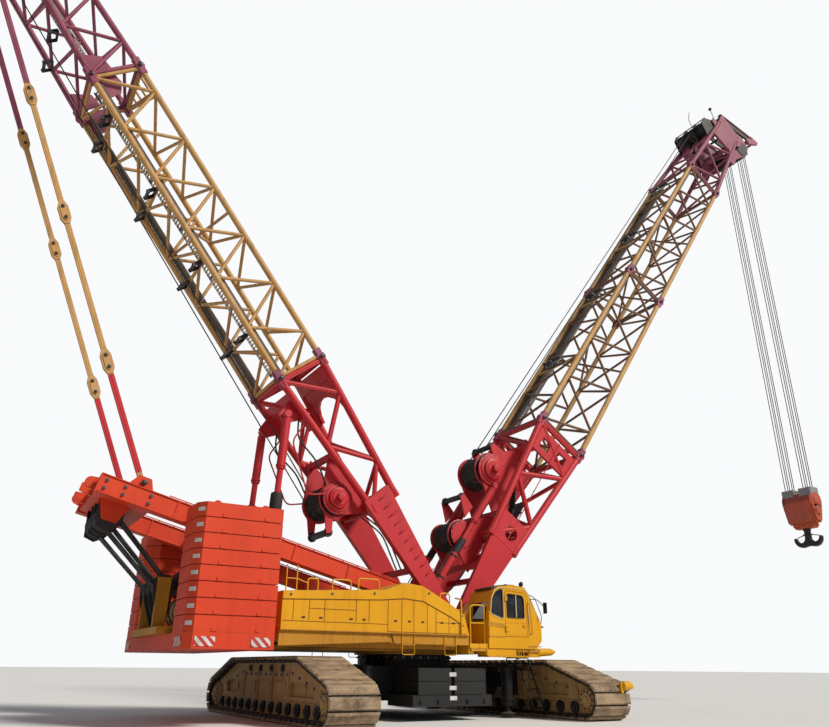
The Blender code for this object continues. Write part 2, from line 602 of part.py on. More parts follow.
# ---------------------------------------------------------------- rear pendants
PEND_LOW = GANTRY(9.72, 0, -0.48)
MAST_EYE = MAST(29.72, 0, 0.62)
joint("pendant_joint", PEND_LOW, "gantry_joint")
pend_vec = MAST_EYE - PEND_LOW
PEND_LEN = float(np.linalg.norm(pend_vec))
PEND = Frame((PEND_LOW[0], PEND_LOW[2]), math.degrees(math.atan2(pend_vec[2], pend_vec[0])))
for name, sy in (("right", -1), ("left", 1)):
    yc = sy * 1.2
    links = []
    stops = [0.0, 3.68, 8.45, 12.5, PEND_LEN]
    for a, b in zip(stops, stops[1:]):
        links.append(box(a, b, yc - 0.045, yc + 0.045, -0.075, 0.075, PEND))
    for s in stops[1:-1]:
        link = [(s - 0.38, -0.07), (s - 0.2, -0.15), (s + 0.2, -0.15), (s + 0.38, -0.07)]
        link += [(s + 0.38, 0.07), (s + 0.2, 0.15), (s - 0.2, 0.15), (s - 0.38, 0.07)]
        links.append(plate(link, yc - 0.065, yc + 0.065, "y", PEND))
    for s in (0.0, PEND_LEN):
        eye = [(s + 0.14 * math.cos(t), 0.14 * math.sin(t)) for t in np.linspace(0, 2 * math.pi, 11)[:-1]]
        links.append(plate(eye, yc - 0.055, yc + 0.055, "y", PEND))
    solid("pendant_" + name, "pendant_joint", OCHRE, links)


# ---------------------------------------------------------------- lattice sections
def zigzag(at, s0, s1, panels, w0, w1, d0, d1, chord, lace, offset=0.0, bare=(0.0, 0.0)):
    """A four-chord section from s0 to s1. w and d are half widths and half depths at its ends.
    The back face is left open where a drum sits in it, between the two values of bare."""
    shapes = []

    def size(s):
        t = (s - s0) / (s1 - s0)
        return w0 + (w1 - w0) * t, d0 + (d1 - d0) * t

    for sy in (-1, 1):
        for sn in (-1, 1):
            tilt = max(abs(d1 - d0), abs(w1 - w0)) / (s1 - s0) * chord * 1.2
            (wa, da), (wb, db) = size(s0 + tilt), size(s1 - tilt)
            a = at(s0 + tilt, sy * wa, sn * da + offset)
            b = at(s1 - tilt, sy * wb, sn * db + offset)
            shapes.append(tube(a, b, chord, 6))
    marks = np.linspace(s0 + lace, s1 - lace, 2 * panels + 1)
    for i, (a, b) in enumerate(zip(marks, marks[1:])):
        wa, da = size(a)
        wb, db = size(b)
        up = 1 if i % 2 == 0 else -1
        for sy in (-1, 1):
            shapes.append(bar(at(a, sy * wa, up * da + offset), at(b, sy * wb, -up * db + offset), lace))
        for sn in (-1, 1):
            if sn > 0 and bare[0] < (a + b) / 2 < bare[1]:
                continue
            n = sn * (da + 0.012) + offset
            m = sn * (db + 0.012) + offset
            shapes.append(bar(at(a + 0.02, up * wa, n), at(b - 0.013, -up * wb, m), lace * 0.93))
    for s, inward in ((s0, 1), (s1, -1)):
        if abs(d1 - d0) < 1e-6 and abs(w1 - w0) < 1e-6:
            continue
        w, d = size(s)
        for sy in (-1, 1):
            for sn in (-1, 1):
                a = at(s, sy * w, sn * d + offset)
                shapes.append(tube(a, at(s + 0.28 * inward, sy * w, sn * d + offset), chord * 1.2, 6))
    for s in (marks[0], marks[-1]):
        w, d = size(s)
        for sn in (-1, 1):
            shapes.append(bar(at(s, -w, sn * d + offset), at(s, w, sn * d + offset), lace * 1.15))
        for sy in (-1, 1):
            shapes.append(bar(at(s, sy * w, -d + offset), at(s, sy * w, d + offset), lace * 1.15))
    return shapes


def leg_plate(at, foot, side, y_in, y_out, front, back, s_top):
    """The solid tapering leg over a foot pin. front and back give n at two places along s."""
    fs, fn = foot
    (sa, na_f, na_b), (sb, nb_f, nb_b) = front, back
    outline = []
    for t in np.linspace(math.radians(70), math.radians(290), 9):
        outline.append((fs + 0.30 * math.cos(t), fn + 0.30 * math.sin(t)))
    outline += [(sa, na_f), (s_top, na_f + (nb_f - na_f) * (s_top - sa) / (sb - sa))]
    outline += [(s_top, na_b + (nb_b - na_b) * (s_top - sa) / (sb - sa)), (sa, na_b)]
    lo, hi = (y_in, y_out) if side > 0 else (-y_out, -y_in)
    return plate(outline, lo, hi, "y", at)


# boom base
BF = BOOM.local(*FOOT_BOOM)
J1, J2, J3, J4 = BOOM_JOINTS


def boom_half(s):
    return 0.25 + (BOOM_HALF_D - 0.25) * s / J1


base = zigzag(
    BOOM, 3.3, J1 - GAP, 2, BOOM_HALF_W, BOOM_HALF_W, boom_half(3.3), BOOM_HALF_D, 0.13, 0.12, -0.03,
    (0.0, 7.2),
)
base_cuts = []
for sy in (-1, 1):
    base.append(
        leg_plate(BOOM, BF, sy, 1.30, 1.47, (0.35, -0.33, 0.24), (J1, -BOOM_HALF_D - 0.03, BOOM_HALF_D - 0.03), 4.45)
    )
    lo, hi = (1.33, 1.44) if sy > 0 else (-1.44, -1.33)
    band = [(7.35, -0.95), (7.35, 0.9), (8.35, 1.0), (8.35, -1.05)]
    base.append(plate(band, lo, hi, "y", BOOM))
    base_cuts.append(tube(BOOM(BF[0], sy * 1.1, BF[1]), BOOM(BF[0], sy * 1.8, BF[1]), 0.136, 16))
    base_cuts.append(tube(BOOM(3.85, sy * 1.1, -0.12), BOOM(3.85, sy * 1.8, -0.12), 0.27, 12))
    for n in (-0.45, 0.4):
        slot = [(7.62, n - 0.2), (7.62, n + 0.2), (8.05, n + 0.2), (8.05, n - 0.2)]
        base_cuts.append(plate(inset(slot, -0.02), sy * 1.387 - 0.3, sy * 1.387 + 0.3, "y", BOOM))
for s in (2.15, 4.3):
    for n in (-1, 1):
        c = n * (boom_half(s) - 0.13) - 0.03
        base.append(bar(BOOM(s, -1.36, c), BOOM(s, 1.36, c), 0.18))
# cheeks that carry the two hoist drums behind the back face, and the lugs of the backstops
for sy in (-1, 1):
    lo, hi = (0.60, 0.68) if sy > 0 else (-0.68, -0.60)
    cheek = [(2.0, 0.2), (2.55, 1.35), (3.25, 1.35), (4.45, 0.4)]
    base.append(plate(cheek, lo, hi, "y", BOOM))
    cheek = [(4.25, 0.25), (5.35, 1.85), (6.2, 1.85), (7.5, 0.8)]
    base.append(plate(cheek, lo, hi, "y", BOOM))
base.append(bar(BOOM(4.35, -1.36, 0.50), BOOM(4.35, 1.36, 0.50), 0.2))
base.append(bar(BOOM(7.35, -1.36, 0.90), BOOM(7.35, 1.36, 0.90), 0.2))
base.append(bar(BOOM(2.15, -1.36, 0.30), BOOM(2.15, 1.36, 0.30), 0.2))
solid("boom_base", "boom_joint", RED, base, base_cuts)

joint("hoist_drum_1_joint", BOOM(2.9, 0, 1.12), "boom_joint")
joint("hoist_drum_2_joint", BOOM(5.75, 0, 1.45), "boom_joint")
spool("hoist_drum_1", "hoist_drum_1_joint", (2.9, 1.12), 0.60 - GAP, 0.40, 0.52, SHEAVE, BOOM)
spool("hoist_drum_2", "hoist_drum_2_joint", (5.75, 1.45), 0.60 - GAP, 0.50, 0.66, SHEAVE, BOOM)

for i, (a, b) in enumerate(((J1, J2), (J2, J3))):
    solid(
        f"boom_insert_{i + 1}", "boom_joint", OCHRE,
        zigzag(BOOM, a + GAP, b - GAP, 4, BOOM_HALF_W, BOOM_HALF_W, BOOM_HALF_D, BOOM_HALF_D, 0.12, 0.09, -0.03),
    )

# boom tip and head
TIP_W, TIP_D = 1.15, 0.80
tip = zigzag(BOOM, J3 + GAP, J4, 2, BOOM_HALF_W, TIP_W, BOOM_HALF_D, TIP_D, 0.12, 0.09, -0.03)
tip_cuts = []
SHEAVE_R = (34.6, 1.27)
for sy in (-1, 1):
    lo, hi = (TIP_W - 0.05, TIP_W + 0.09) if sy > 0 else (-TIP_W - 0.09, -TIP_W + 0.05)
    tip.append(plate([(34.2, -0.9), (34.2, 0.82), (J4, 0.80), (J4, -0.85)], lo, hi, "y", BOOM))
    lo, hi = (0.92, 1.0) if sy > 0 else (-1.0, -0.92)
    nose = [(35.3, 0.3), (36.6, 0.25), (37.0, -0.9), (36.6, -1.9), (35.75, -1.95), (34.6, -1.5), (34.0, -1.55)]
    tip.append(plate(nose + [(33.9, -1.1), (34.6, -0.7)], lo, hi, "y", BOOM))
    tip.append(plate([(33.9, 0.5), (34.3, 1.5), (34.85, 1.5), (35.5, 0.5)], lo, hi, "y", BOOM))
tip.append(box(34.9, J4 - 0.02, -TIP_W, TIP_W, 0.55, 0.75, BOOM))
tip.append(box(34.9, J4 - 0.02, -TIP_W, TIP_W, -0.85, -0.65, BOOM))
tip.append(bar(BOOM(34.15, -1.2, 0.78), BOOM(34.15, 1.2, 0.78), 0.16))
tip.append(bar(BOOM(36.6, -0.96, 0.1), BOOM(36.6, 0.96, 0.1), 0.16))
for sy in (-1, 1):
    lug = [(34.9, 0.6), (35.2, 1.25), (35.5, 1.25), (35.58, 0.6)]
    lo, hi = (1.06, 1.14) if sy > 0 else (-1.14, -1.06)
    tip.append(plate(lug, lo, hi, "y", BOOM))
solid("boom_tip", "boom_joint", PURPLE, tip)


def sheave_set(name, centre, half, r, at, parent, count=4, turn=0.5):
    """Sheaves side by side on one shaft."""
    profile = []
    w = 2 * half / count
    for i in range(count):
        y = -half + i * w
        profile += [(y, r), (y + w * 0.3, r), (y + w * 0.5, r * 0.86), (y + w * 0.7, r)]
    profile.append((half, r))
    clean = [profile[0]]
    for p in profile[1:]:
        if p[0] - clean[-1][0] > 1e-6:
            clean.append(p)
    return solid(name, parent, SHEAVE, [turned(clean, centre, 16, at, turn)])


sheave_set("boom_head_sheaves", (HEAD[0], HEAD[2]), 0.92 - GAP, SHEAVE_HEAD_R, WORLD, "boom_joint", 3, 0.0)
sheave_set("boom_guide_sheaves", SHEAVE_R, 0.92 - GAP, 0.36, BOOM, "boom_joint", 3)

# ---------------------------------------------------------------- mast
MF = MAST.local(*FOOT_MAST)
M1, M2, M3 = MAST_JOINTS
mast = zigzag(
    MAST, 4.2, M1 - GAP, 2, MAST_HALF_W, MAST_HALF_W, 0.50, MAST_HALF_D, 0.12, 0.10, 0.0, (0.0, 6.4)
)
for sy in (-1, 1):
    mast.append(
        leg_plate(MAST, MF, sy, 1.04, 1.28, (0.75, -0.05, 0.50), (M1, -MAST_HALF_D, MAST_HALF_D), 4.7)
    )
mast_cuts = []
for sy in (-1, 1):
    mast_cuts.append(tube(MAST(MF[0], sy * 0.8, MF[1]), MAST(MF[0], sy * 1.5, MF[1]), 0.136, 16))
for s, n in ((1.9, 0.30), (4.45, 0.40), (4.45, -0.40)):
    mast.append(bar(MAST(s, -1.1, n), MAST(s, 1.1, n), 0.18))
# arched plate and box band across the front face near the top
arch = [(9.0, -1.1), (9.0, 1.1), (7.55, 1.1)]
for t in np.linspace(0, math.pi, 9):
    arch.append((7.55 + 0.75 * math.sin(t), 0.92 * math.cos(t)))
arch.append((7.55, -1.1))


def across(outline, n0, n1, at):
    """An outline of (s, y) pairs given thickness along n."""
    lifted = [at(s, y, n) for n in (n0, n1) for s, y in outline]
    m = len(outline)
    faces = [tuple(range(m)), tuple(range(2 * m - 1, m - 1, -1))]
    faces += [(i, m + i, m + (i + 1) % m, (i + 1) % m) for i in range(m)]
    return lifted, faces


mast.append(across(arch, -0.86, -0.76, MAST))
mast.append(box(8.75, 9.25, -1.16, 1.16, -0.95, -0.70, MAST))
mast.append(across(arch, 0.74, 0.84, MAST))
for sy in (-1, 1):
    lo, hi = (0.74, 0.82) if sy > 0 else (-0.82, -0.74)
    mast.append(plate([(4.1, 0.2), (4.85, 1.55), (5.65, 1.55), (6.7, 0.5)], lo, hi, "y", MAST))
    lo, hi = (0.90, 0.98) if sy > 0 else (-0.98, -0.90)
    mast.append(plate([(8.0, 0.78), (8.2, 1.45), (8.55, 1.45), (8.8, 0.78)], lo, hi, "y", MAST))
mast.append(bar(MAST(6.5, -1.16, 0.62), MAST(6.5, 1.16, 0.62), 0.18))
solid("mast_base", "mast_joint", RED, mast, mast_cuts)

joint("mast_drum_joint", MAST(5.25, 0, 1.20), "mast_joint")
spool("mast_drum", "mast_drum_joint", (5.25, 1.20), 0.74 - GAP, 0.42, 0.56, SHEAVE, MAST)

insert = zigzag(MAST, M1 + GAP, M2 - GAP, 6, MAST_HALF_W, MAST_HALF_W, MAST_HALF_D, MAST_HALF_D, 0.10, 0.085)
solid("mast_insert", "mast_joint", OCHRE, insert)

tip = zigzag(MAST, M2 + GAP, M3 - 1.2, 4, MAST_HALF_W, 1.12, MAST_HALF_D, 0.62, 0.10, 0.08)
for sy in (-1, 1):
    lo, hi = (1.0, 1.12) if sy > 0 else (-1.12, -1.0)
    head = [(28.4, -0.7), (28.4, 0.7), (29.4, 0.82), (29.95, 0.75), (30.2, 0.3), (30.2, -0.5), (29.8, -0.75)]
    tip.append(plate(head, lo, hi, "y", MAST))
tip.append(box(28.5, 28.8, -1.1, 1.1, -0.5, 0.5, MAST))
tip_cuts = [tube(MAST(29.72, -1.5, 0.62), MAST(29.72, 1.5, 0.62), 0.06, 12)]
solid("mast_tip", "mast_joint", PURPLE, tip, tip_cuts)
sheave_set("mast_head_sheaves", (29.75, -0.1), 1.0 - GAP, 0.40, MAST, "mast_joint", 3)


# ---------------------------------------------------------------- telescopic backstops
def backstop(name, parent, low, high, y, r, split, mat_low, mat_high, mat_rod):
    """A tube on a foot pin with a rod that slides out of it; the rod's eye stands beside its lug."""
    vec = np.array([high[0] - low[0], high[1] - low[1]])
    length = float(np.linalg.norm(vec))
    frame = Frame(low, math.degrees(math.atan2(vec[1], vec[0])))
    joint(name + "_joint", (low[0], 0, low[1]), parent)
    joint(name + "_slide_joint", frame(length, 0, 0), name + "_joint")
    for side, sy in (("right", -1), ("left", 1)):
        yc = sy * y
        body = [tube(frame(-0.12, yc, 0), frame(split, yc, 0), r, 12)]
        bore = [tube(frame(0.15, yc, 0), frame(split + 0.5, yc, 0), r * 0.72, 12)]
        solid(f"{name}_barrel_{side}", name + "_joint", mat_low, body, bore)
        rod = [tube(frame(0.75, yc, 0), frame(length + 0.12, yc, 0), r * 0.69, 12, turn=0.0)]
        rod.append(tube(frame(split + 0.75, yc, 0), frame(length - 0.15, yc, 0), r * 0.98, 12))
        solid(f"{name}_rod_{side}", name + "_slide_joint", mat_rod, rod)
    return frame, length


MB_LOW = (-5.33, 3.30)
mb = MAST(8.4, 0, MAST_HALF_D + 0.42)
backstop("mast_stop", "slew_joint", MB_LOW, (mb[0], mb[2]), 1.16, 0.14, 3.0, RED, RED, RED)
BB_LOW = (0.30, 3.35)
bb = BOOM(5.2, 0, 1.10)
backstop("boom_stop", "slew_joint", BB_LOW, (bb[0], bb[2]), 0.86, 0.12, 2.7, RED, RED, RED)

# ---------------------------------------------------------------- hoist falls, block and hook
joint("hook_hang_joint", HEAD, "boom_joint")
joint("hook_hoist_joint", (HOOK_X, 0, HOOK_TOP), "hook_hang_joint")
for side, sy in (("right", -1), ("left", 1)):
    solid(
        "hoist_falls_" + side, "hook_hang_joint", ROPE,
        [box(HOOK_X - 0.03, HOOK_X + 0.03, sy * 0.5 - 0.28, sy * 0.5 + 0.28, HOOK_TOP + GAP, HEAD[2])],
    )
block = [
    turned([(-0.80, 0.40), (0.80, 0.40)], (HOOK_X, HOOK_TOP - 0.40), 16),
    plate(
        [(HOOK_X - 0.5, HOOK_TOP - 0.45), (HOOK_X - 0.3, HOOK_TOP), (HOOK_X + 0.3, HOOK_TOP),
         (HOOK_X + 0.5, HOOK_TOP - 0.45), (HOOK_X + 0.22, HOOK_TOP - 1.5), (HOOK_X - 0.22, HOOK_TOP - 1.5)],
        -0.72, 0.72,
    ),
    box(HOOK_X - 0.2, HOOK_X + 0.2, -0.5, 0.5, HOOK_TOP - 1.75, HOOK_TOP - 1.4),
]
solid("hook_block", "hook_hoist_joint", ORANGE, block)
joint("hook_swivel_joint", (HOOK_X, 0, HOOK_TOP - 1.75), "hook_hoist_joint")
hz = HOOK_TOP - 1.75 - GAP
half = [(0.13, hz), (0.13, hz - 0.36)]
for t in np.linspace(math.radians(170), math.radians(365), 9):
    half.append((0.38 + 0.24 * math.cos(t), hz - 0.44 + 0.24 * math.sin(t)))
for t in np.linspace(math.radians(12), math.radians(-90), 7):
    half.append((0.32 + 0.42 * math.cos(t), hz - 0.50 + 0.42 * math.sin(t)))
outline = half + [(0.0, hz - 0.86)] + [(-y, z) for y, z in reversed(half)]
solid("hook", "hook_swivel_joint", STEEL, [plate(outline, HOOK_X - 0.12, HOOK_X + 0.12, "x")], bevel=0.03)

# ---------------------------------------------------------------- origin: middle of the box, on the ground
bpy.context.view_layer.update()
reach = [
    (obj.matrix_world @ v.co).x for obj in bpy.data.objects if obj.type == "MESH" for v in obj.data.vertices
]
bpy.data.objects["ground_joint"].location.x = -(min(reach) + max(reach)) / 2
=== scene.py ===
# Crawler crane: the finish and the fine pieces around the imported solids.
# Shapes are written in real metres from the slewing axis: +X to the boom, +Y left, +Z up.
import json
import math

import bmesh
import bpy
import numpy as np
from mathutils import Matrix, Vector

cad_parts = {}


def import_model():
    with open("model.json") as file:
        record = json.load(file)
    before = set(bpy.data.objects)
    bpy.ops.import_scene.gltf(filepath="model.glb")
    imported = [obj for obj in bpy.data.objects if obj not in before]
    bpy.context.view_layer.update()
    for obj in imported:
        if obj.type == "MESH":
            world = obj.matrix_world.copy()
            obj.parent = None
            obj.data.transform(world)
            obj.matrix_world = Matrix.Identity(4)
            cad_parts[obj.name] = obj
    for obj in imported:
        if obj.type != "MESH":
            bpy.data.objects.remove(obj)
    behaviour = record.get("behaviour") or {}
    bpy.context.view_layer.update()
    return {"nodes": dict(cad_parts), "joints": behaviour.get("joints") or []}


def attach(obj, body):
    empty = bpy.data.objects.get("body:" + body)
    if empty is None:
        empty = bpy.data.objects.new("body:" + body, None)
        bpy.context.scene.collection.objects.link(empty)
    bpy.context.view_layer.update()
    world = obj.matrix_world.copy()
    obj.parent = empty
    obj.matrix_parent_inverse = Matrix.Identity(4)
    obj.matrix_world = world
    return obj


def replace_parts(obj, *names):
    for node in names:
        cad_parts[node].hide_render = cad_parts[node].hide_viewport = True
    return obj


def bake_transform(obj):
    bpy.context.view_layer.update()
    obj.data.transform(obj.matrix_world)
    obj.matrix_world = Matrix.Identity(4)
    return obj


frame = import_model()


# ------------------------------------------------------------------ camera, floor and light
# The crane stands on a pale floor, seen from beside its right track at a person's eye height, and is
# lit by a pale sky all round with one broad soft sun high on the right.
SCALE = 0.5
SLEW_X = next(joint for joint in frame["joints"] if joint["name"] == "slew")["pos_m"][0]
EYE = (-12.77, -22.25, 1.39)
EYE_PITCH, EYE_ROLL, EYE_AZIMUTH = math.radians(22.675), math.radians(0.438), math.radians(-30.48)
EYE_LENS, EYE_REACH = 31.67, 1200
SKY_GLOW, SUN_POWER, SUN_SPREAD = 0.26, 3.3, 0.22
SUN_TOWARDS = Vector((-0.42, 0.66, -0.62))
FLOOR_REACH, FLOOR_Z = 400, -0.002


def model_point(p):
    """A point in real metres from the slewing axis, brought to the model."""
    return Vector((float(p[0]) * SCALE + SLEW_X, float(p[1]) * SCALE, float(p[2]) * SCALE))


forward = Vector((
    -math.sin(EYE_AZIMUTH) * math.cos(EYE_PITCH),
    math.cos(EYE_AZIMUTH) * math.cos(EYE_PITCH),
    math.sin(EYE_PITCH),
))
level = forward.cross(Vector((0, 0, 1))).normalized()
upright = level.cross(forward).normalized()
camera = bpy.data.objects.new("eye", bpy.data.cameras.new("eye"))
bpy.context.scene.collection.objects.link(camera)
camera.data.lens = EYE_LENS
camera.data.clip_end = EYE_REACH
across_view = level * math.cos(EYE_ROLL) + upright * math.sin(EYE_ROLL)
up_view = upright * math.cos(EYE_ROLL) - level * math.sin(EYE_ROLL)
turned_to = Matrix((across_view, up_view, -forward)).transposed().to_4x4()
camera.matrix_world = Matrix.Translation(model_point(EYE)) @ turned_to
bpy.context.scene.camera = camera
bpy.context.scene.view_settings.view_transform = "Standard"

sky = bpy.data.worlds.new("pale_sky")
bpy.context.scene.world = sky
sky.use_nodes = True
glow = sky.node_tree.nodes["Background"]
glow.inputs["Color"].default_value = (0.90, 0.94, 1.0, 1.0)
glow.inputs["Strength"].default_value = SKY_GLOW
backdrop = sky.node_tree.nodes.new("ShaderNodeBackground")
backdrop.inputs["Color"].default_value = (0.95, 0.96, 0.97, 1.0)
seen = sky.node_tree.nodes.new("ShaderNodeLightPath")
choice = sky.node_tree.nodes.new("ShaderNodeMixShader")
sky.node_tree.links.new(seen.outputs["Is Camera Ray"], choice.inputs[0])
sky.node_tree.links.new(glow.outputs[0], choice.inputs[1])
sky.node_tree.links.new(backdrop.outputs[0], choice.inputs[2])
sky.node_tree.links.new(choice.outputs[0], sky.node_tree.nodes["World Output"].inputs["Surface"])

key = bpy.data.objects.new("key_lamp", bpy.data.lights.new("key_lamp", "SUN"))
bpy.context.scene.collection.objects.link(key)
key.data.energy = SUN_POWER
key.data.angle = SUN_SPREAD
key.data.color = (1.0, 0.95, 0.87)
key.rotation_mode = "QUATERNION"
key.rotation_quaternion = SUN_TOWARDS.to_track_quat("-Z", "Y")


class Value:
    """A socket of a material's tree, so that its maths reads as arithmetic."""

    def __init__(self, finish, socket):
        self.finish, self.socket = finish, socket

    def _maths(self, operation, a, b):
        return self.finish.node("ShaderNodeMath", {"operation": operation}, {0: a, 1: b})

    def __add__(self, other):
        return self._maths("ADD", self, other)

    def __sub__(self, other):
        return self._maths("SUBTRACT", self, other)

    def __rsub__(self, other):
        return self._maths("SUBTRACT", other, self)

    def __mul__(self, other):
        return self._maths("MULTIPLY", self, other)

    def __gt__(self, other):
        return self._maths("GREATER_THAN", self, other)

    __radd__ = __add__
    __rmul__ = __mul__


class Finish:
    """One finish: its Principled shader, and the nodes that feed it."""

    def __init__(self, name, **fixed):
        self.mat = bpy.data.materials.new(name)
        self.mat.use_nodes = True
        self.tree = self.mat.node_tree
        self.shader = self.tree.nodes["Principled BSDF"]
        for socket, value in fixed.items():
            self.set(socket.replace("_", " "), value)

    def feed(self, socket, value):
        if isinstance(value, Value):
            self.tree.links.new(value.socket, socket)
        else:
            socket.default_value = value

    def set(self, socket, value):
        self.feed(self.shader.inputs[socket], value)

    def node(self, kind, settings=None, sockets=None, out=0):
        made = self.tree.nodes.new(kind)
        for key, value in (settings or {}).items():
            if key == "stops":
                ramp = made.color_ramp.elements
                for element, (place, shade) in zip((ramp[0], ramp[1]), value):
                    element.position = place
                    element.color = (shade, shade, shade, 1)
            else:
                setattr(made, key, value)
        for key, value in (sockets or {}).items():
            self.feed(made.inputs[key], value)
        return Value(self, made.outputs[out])

    def place(self, stretch=(1, 1, 1)):
        """Object coordinates, stretched."""
        at = self.node("ShaderNodeTexCoord", out=3)
        return self.node("ShaderNodeMapping", None, {"Vector": at, "Scale": stretch})

    def noise(self, at, scale, detail, rough=0.55):
        return self.node(
            "ShaderNodeTexNoise", None,
            {"Vector": at, "Scale": scale, "Detail": detail, "Roughness": rough},
        )

    def ramp(self, value, low, high):
        """0 below low, 1 above high."""
        return self.node("ShaderNodeValToRGB", {"stops": ((low, 0), (high, 1))}, {"Fac": value})

    def mix(self, first, second, share):
        made = self.tree.nodes.new("ShaderNodeMix")
        made.data_type = "RGBA"
        self.feed(made.inputs[0], share)
        for index, value in ((6, first), (7, second)):
            self.feed(made.inputs[index], value if isinstance(value, Value) else (*value[:3], 1.0))
        return Value(self, made.outputs[2])

    def upward(self):
        """1 on faces that look up, 0 on upright faces."""
        normal = self.node("ShaderNodeNewGeometry", out=1)
        return self.node("ShaderNodeSeparateXYZ", None, {"Vector": normal}, 2)

    def edge(self, radius):
        """1 along sharp edges, from the normal rounded over a radius."""
        soft = self.node("ShaderNodeBevel", {"samples": 4}, {"Radius": radius})
        hard = self.node("ShaderNodeNewGeometry", out=1)
        facing = self.node("ShaderNodeVectorMath", {"operation": "DOT_PRODUCT"}, {0: soft, 1: hard}, 1)
        return self.ramp(1.0 - facing, 0.02, 0.12)

    def bump(self, height, strength, distance):
        made = self.node(
            "ShaderNodeBump", None, {"Height": height, "Strength": strength, "Distance": distance},
        )
        self.set("Normal", made)


def studio_floor():
    """Pale screed with a faint mottle, lit like the backdrop."""
    finish = Finish("floor_screed", Roughness=0.9)
    mottle = finish.noise(finish.place(), 0.35, 4)
    finish.set("Base Color", finish.mix((0.80, 0.80, 0.79), (0.74, 0.74, 0.735), mottle))
    mesh = bpy.data.meshes.new("floor")
    corners = [(x * FLOOR_REACH, y * FLOOR_REACH, FLOOR_Z) for x, y in ((-1, -1), (1, -1), (1, 1), (-1, 1))]
    mesh.from_pydata(corners, [], [(0, 1, 2, 3)])
    floor = bpy.data.objects.new("floor", mesh)
    bpy.context.scene.collection.objects.link(floor)
    mesh.materials.append(finish.mat)


studio_floor()


# ------------------------------------------------------------------ paint on the CAD solids
# Plate and box sections are welded, blasted and sprayed with enamel over a dark red primer. Sun fades the
# colour in patches, rain draws streaks, dust lies on what faces up, and edges wear through to primer.
PRIMER = (0.045, 0.022, 0.018)
DUST = (0.33, 0.27, 0.19)


def enamel(name, colour, faded, gloss, dust, wear, streak, grime=(0.06, 0.045, 0.03)):
    """Sprayed enamel: its colour and its faded colour, then how far each kind of wear has gone."""
    finish = Finish(name, Coat_Weight=0.04, Coat_Roughness=0.3, Specular_IOR_Level=0.3)
    patches = finish.ramp(finish.noise(finish.place(), 1.1, 4), 0.35, 0.72)
    fine = finish.noise(finish.place(), 26.0, 4)
    runs = finish.ramp(finish.noise(finish.place((7, 7, 0.55)), 1.6, 5), 0.5, 0.82)
    spots = finish.ramp(finish.noise(finish.place(), 9.0, 6, 0.7), 0.60, 0.78)
    worn = finish.edge(0.012) * finish.ramp(fine, 0.42, 0.6)
    settled = finish.ramp(finish.upward(), 0.35, 0.95) * finish.noise(finish.place(), 3.0, 4)
    tint = finish.mix(colour, faded, patches * 0.8)
    tint = finish.mix(tint, grime, runs * streak)
    tint = finish.mix(tint, grime, spots * (streak * 0.6))
    tint = finish.mix(tint, DUST, settled * (dust * 1.6))
    tint = finish.mix(tint, PRIMER, worn * wear)
    finish.set("Base Color", tint)
    finish.set("Roughness", gloss + fine * 0.12 + settled * 0.4 + worn * 0.2)
    finish.bump(fine + patches * 2.0, 0.10, 0.003)
    return finish.mat


YELLOW = enamel(
    "yellow_enamel", (0.66, 0.30, 0.0), (0.72, 0.36, 0.006), 0.36, 0.2, 0.5, 0.32, (0.22, 0.08, 0.005),
)
# Painted shade: a darker, browner copy of the yellow for the slewing frame, the skirts under the houses, the
# slew motors and the cab's low pressings, which lie in shade; it also carries more dust, streaks and wear.
SHADED_YELLOW = enamel(
    "deck_yellow_painted_shade", (0.44, 0.19, 0.008), (0.52, 0.25, 0.02), 0.5, 0.5, 0.6, 0.5, (0.12, 0.05, 0.01),
)
ORANGE = enamel(
    "orange_enamel", (0.60, 0.040, 0.008), (0.66, 0.058, 0.013), 0.5, 0.25, 0.6, 0.22, (0.16, 0.012, 0.008),
)
RED = enamel(
    "red_enamel", (0.47, 0.014, 0.022), (0.54, 0.032, 0.04), 0.42, 0.3, 0.5, 0.3, (0.10, 0.008, 0.012),
)
OCHRE = enamel(
    "ochre_enamel", (0.50, 0.26, 0.075), (0.52, 0.33, 0.15), 0.5, 0.5, 0.5, 0.6, (0.12, 0.085, 0.055),
)
PURPLE = enamel(
    "purple_enamel", (0.23, 0.045, 0.085), (0.36, 0.11, 0.16), 0.5, 0.45, 0.5, 0.6, (0.06, 0.025, 0.04),
)
TRACK_TAN = enamel(
    "track_tan", (0.36, 0.21, 0.07), (0.43, 0.29, 0.13), 0.62, 0.6, 0.7, 0.7, (0.15, 0.055, 0.012),
)
CHASSIS = enamel(
    "chassis_enamel", (0.006, 0.006, 0.007), (0.012, 0.012, 0.013), 0.45, 0.25, 0.2, 0.3,
    (0.02, 0.017, 0.013),
)
WEIGHT = enamel(
    "cast_weight_paint", (0.012, 0.0125, 0.013), (0.022, 0.023, 0.024), 0.6, 0.25, 0.5, 0.4,
    (0.015, 0.014, 0.013),
)


def bare_steel(name, colour, gloss, metal=0.85):
    """Bright or blued steel with a film of oil and a little rust in the pores."""
    finish = Finish(name, Metallic=metal)
    fine = finish.noise(finish.place(), 40.0, 4)
    rust = finish.ramp(finish.noise(finish.place(), 6.0, 5), 0.58, 0.76)
    finish.set("Base Color", finish.mix(colour, (0.11, 0.05, 0.025), rust * 0.5))
    finish.set("Roughness", gloss + fine * 0.2 + rust * 0.25)
    finish.bump(fine, 0.15, 0.002)
    return finish.mat


STEEL = bare_steel("rod_steel", (0.16, 0.16, 0.17), 0.22)
DARK_STEEL = bare_steel("blued_steel", (0.035, 0.035, 0.04), 0.35, 0.6)


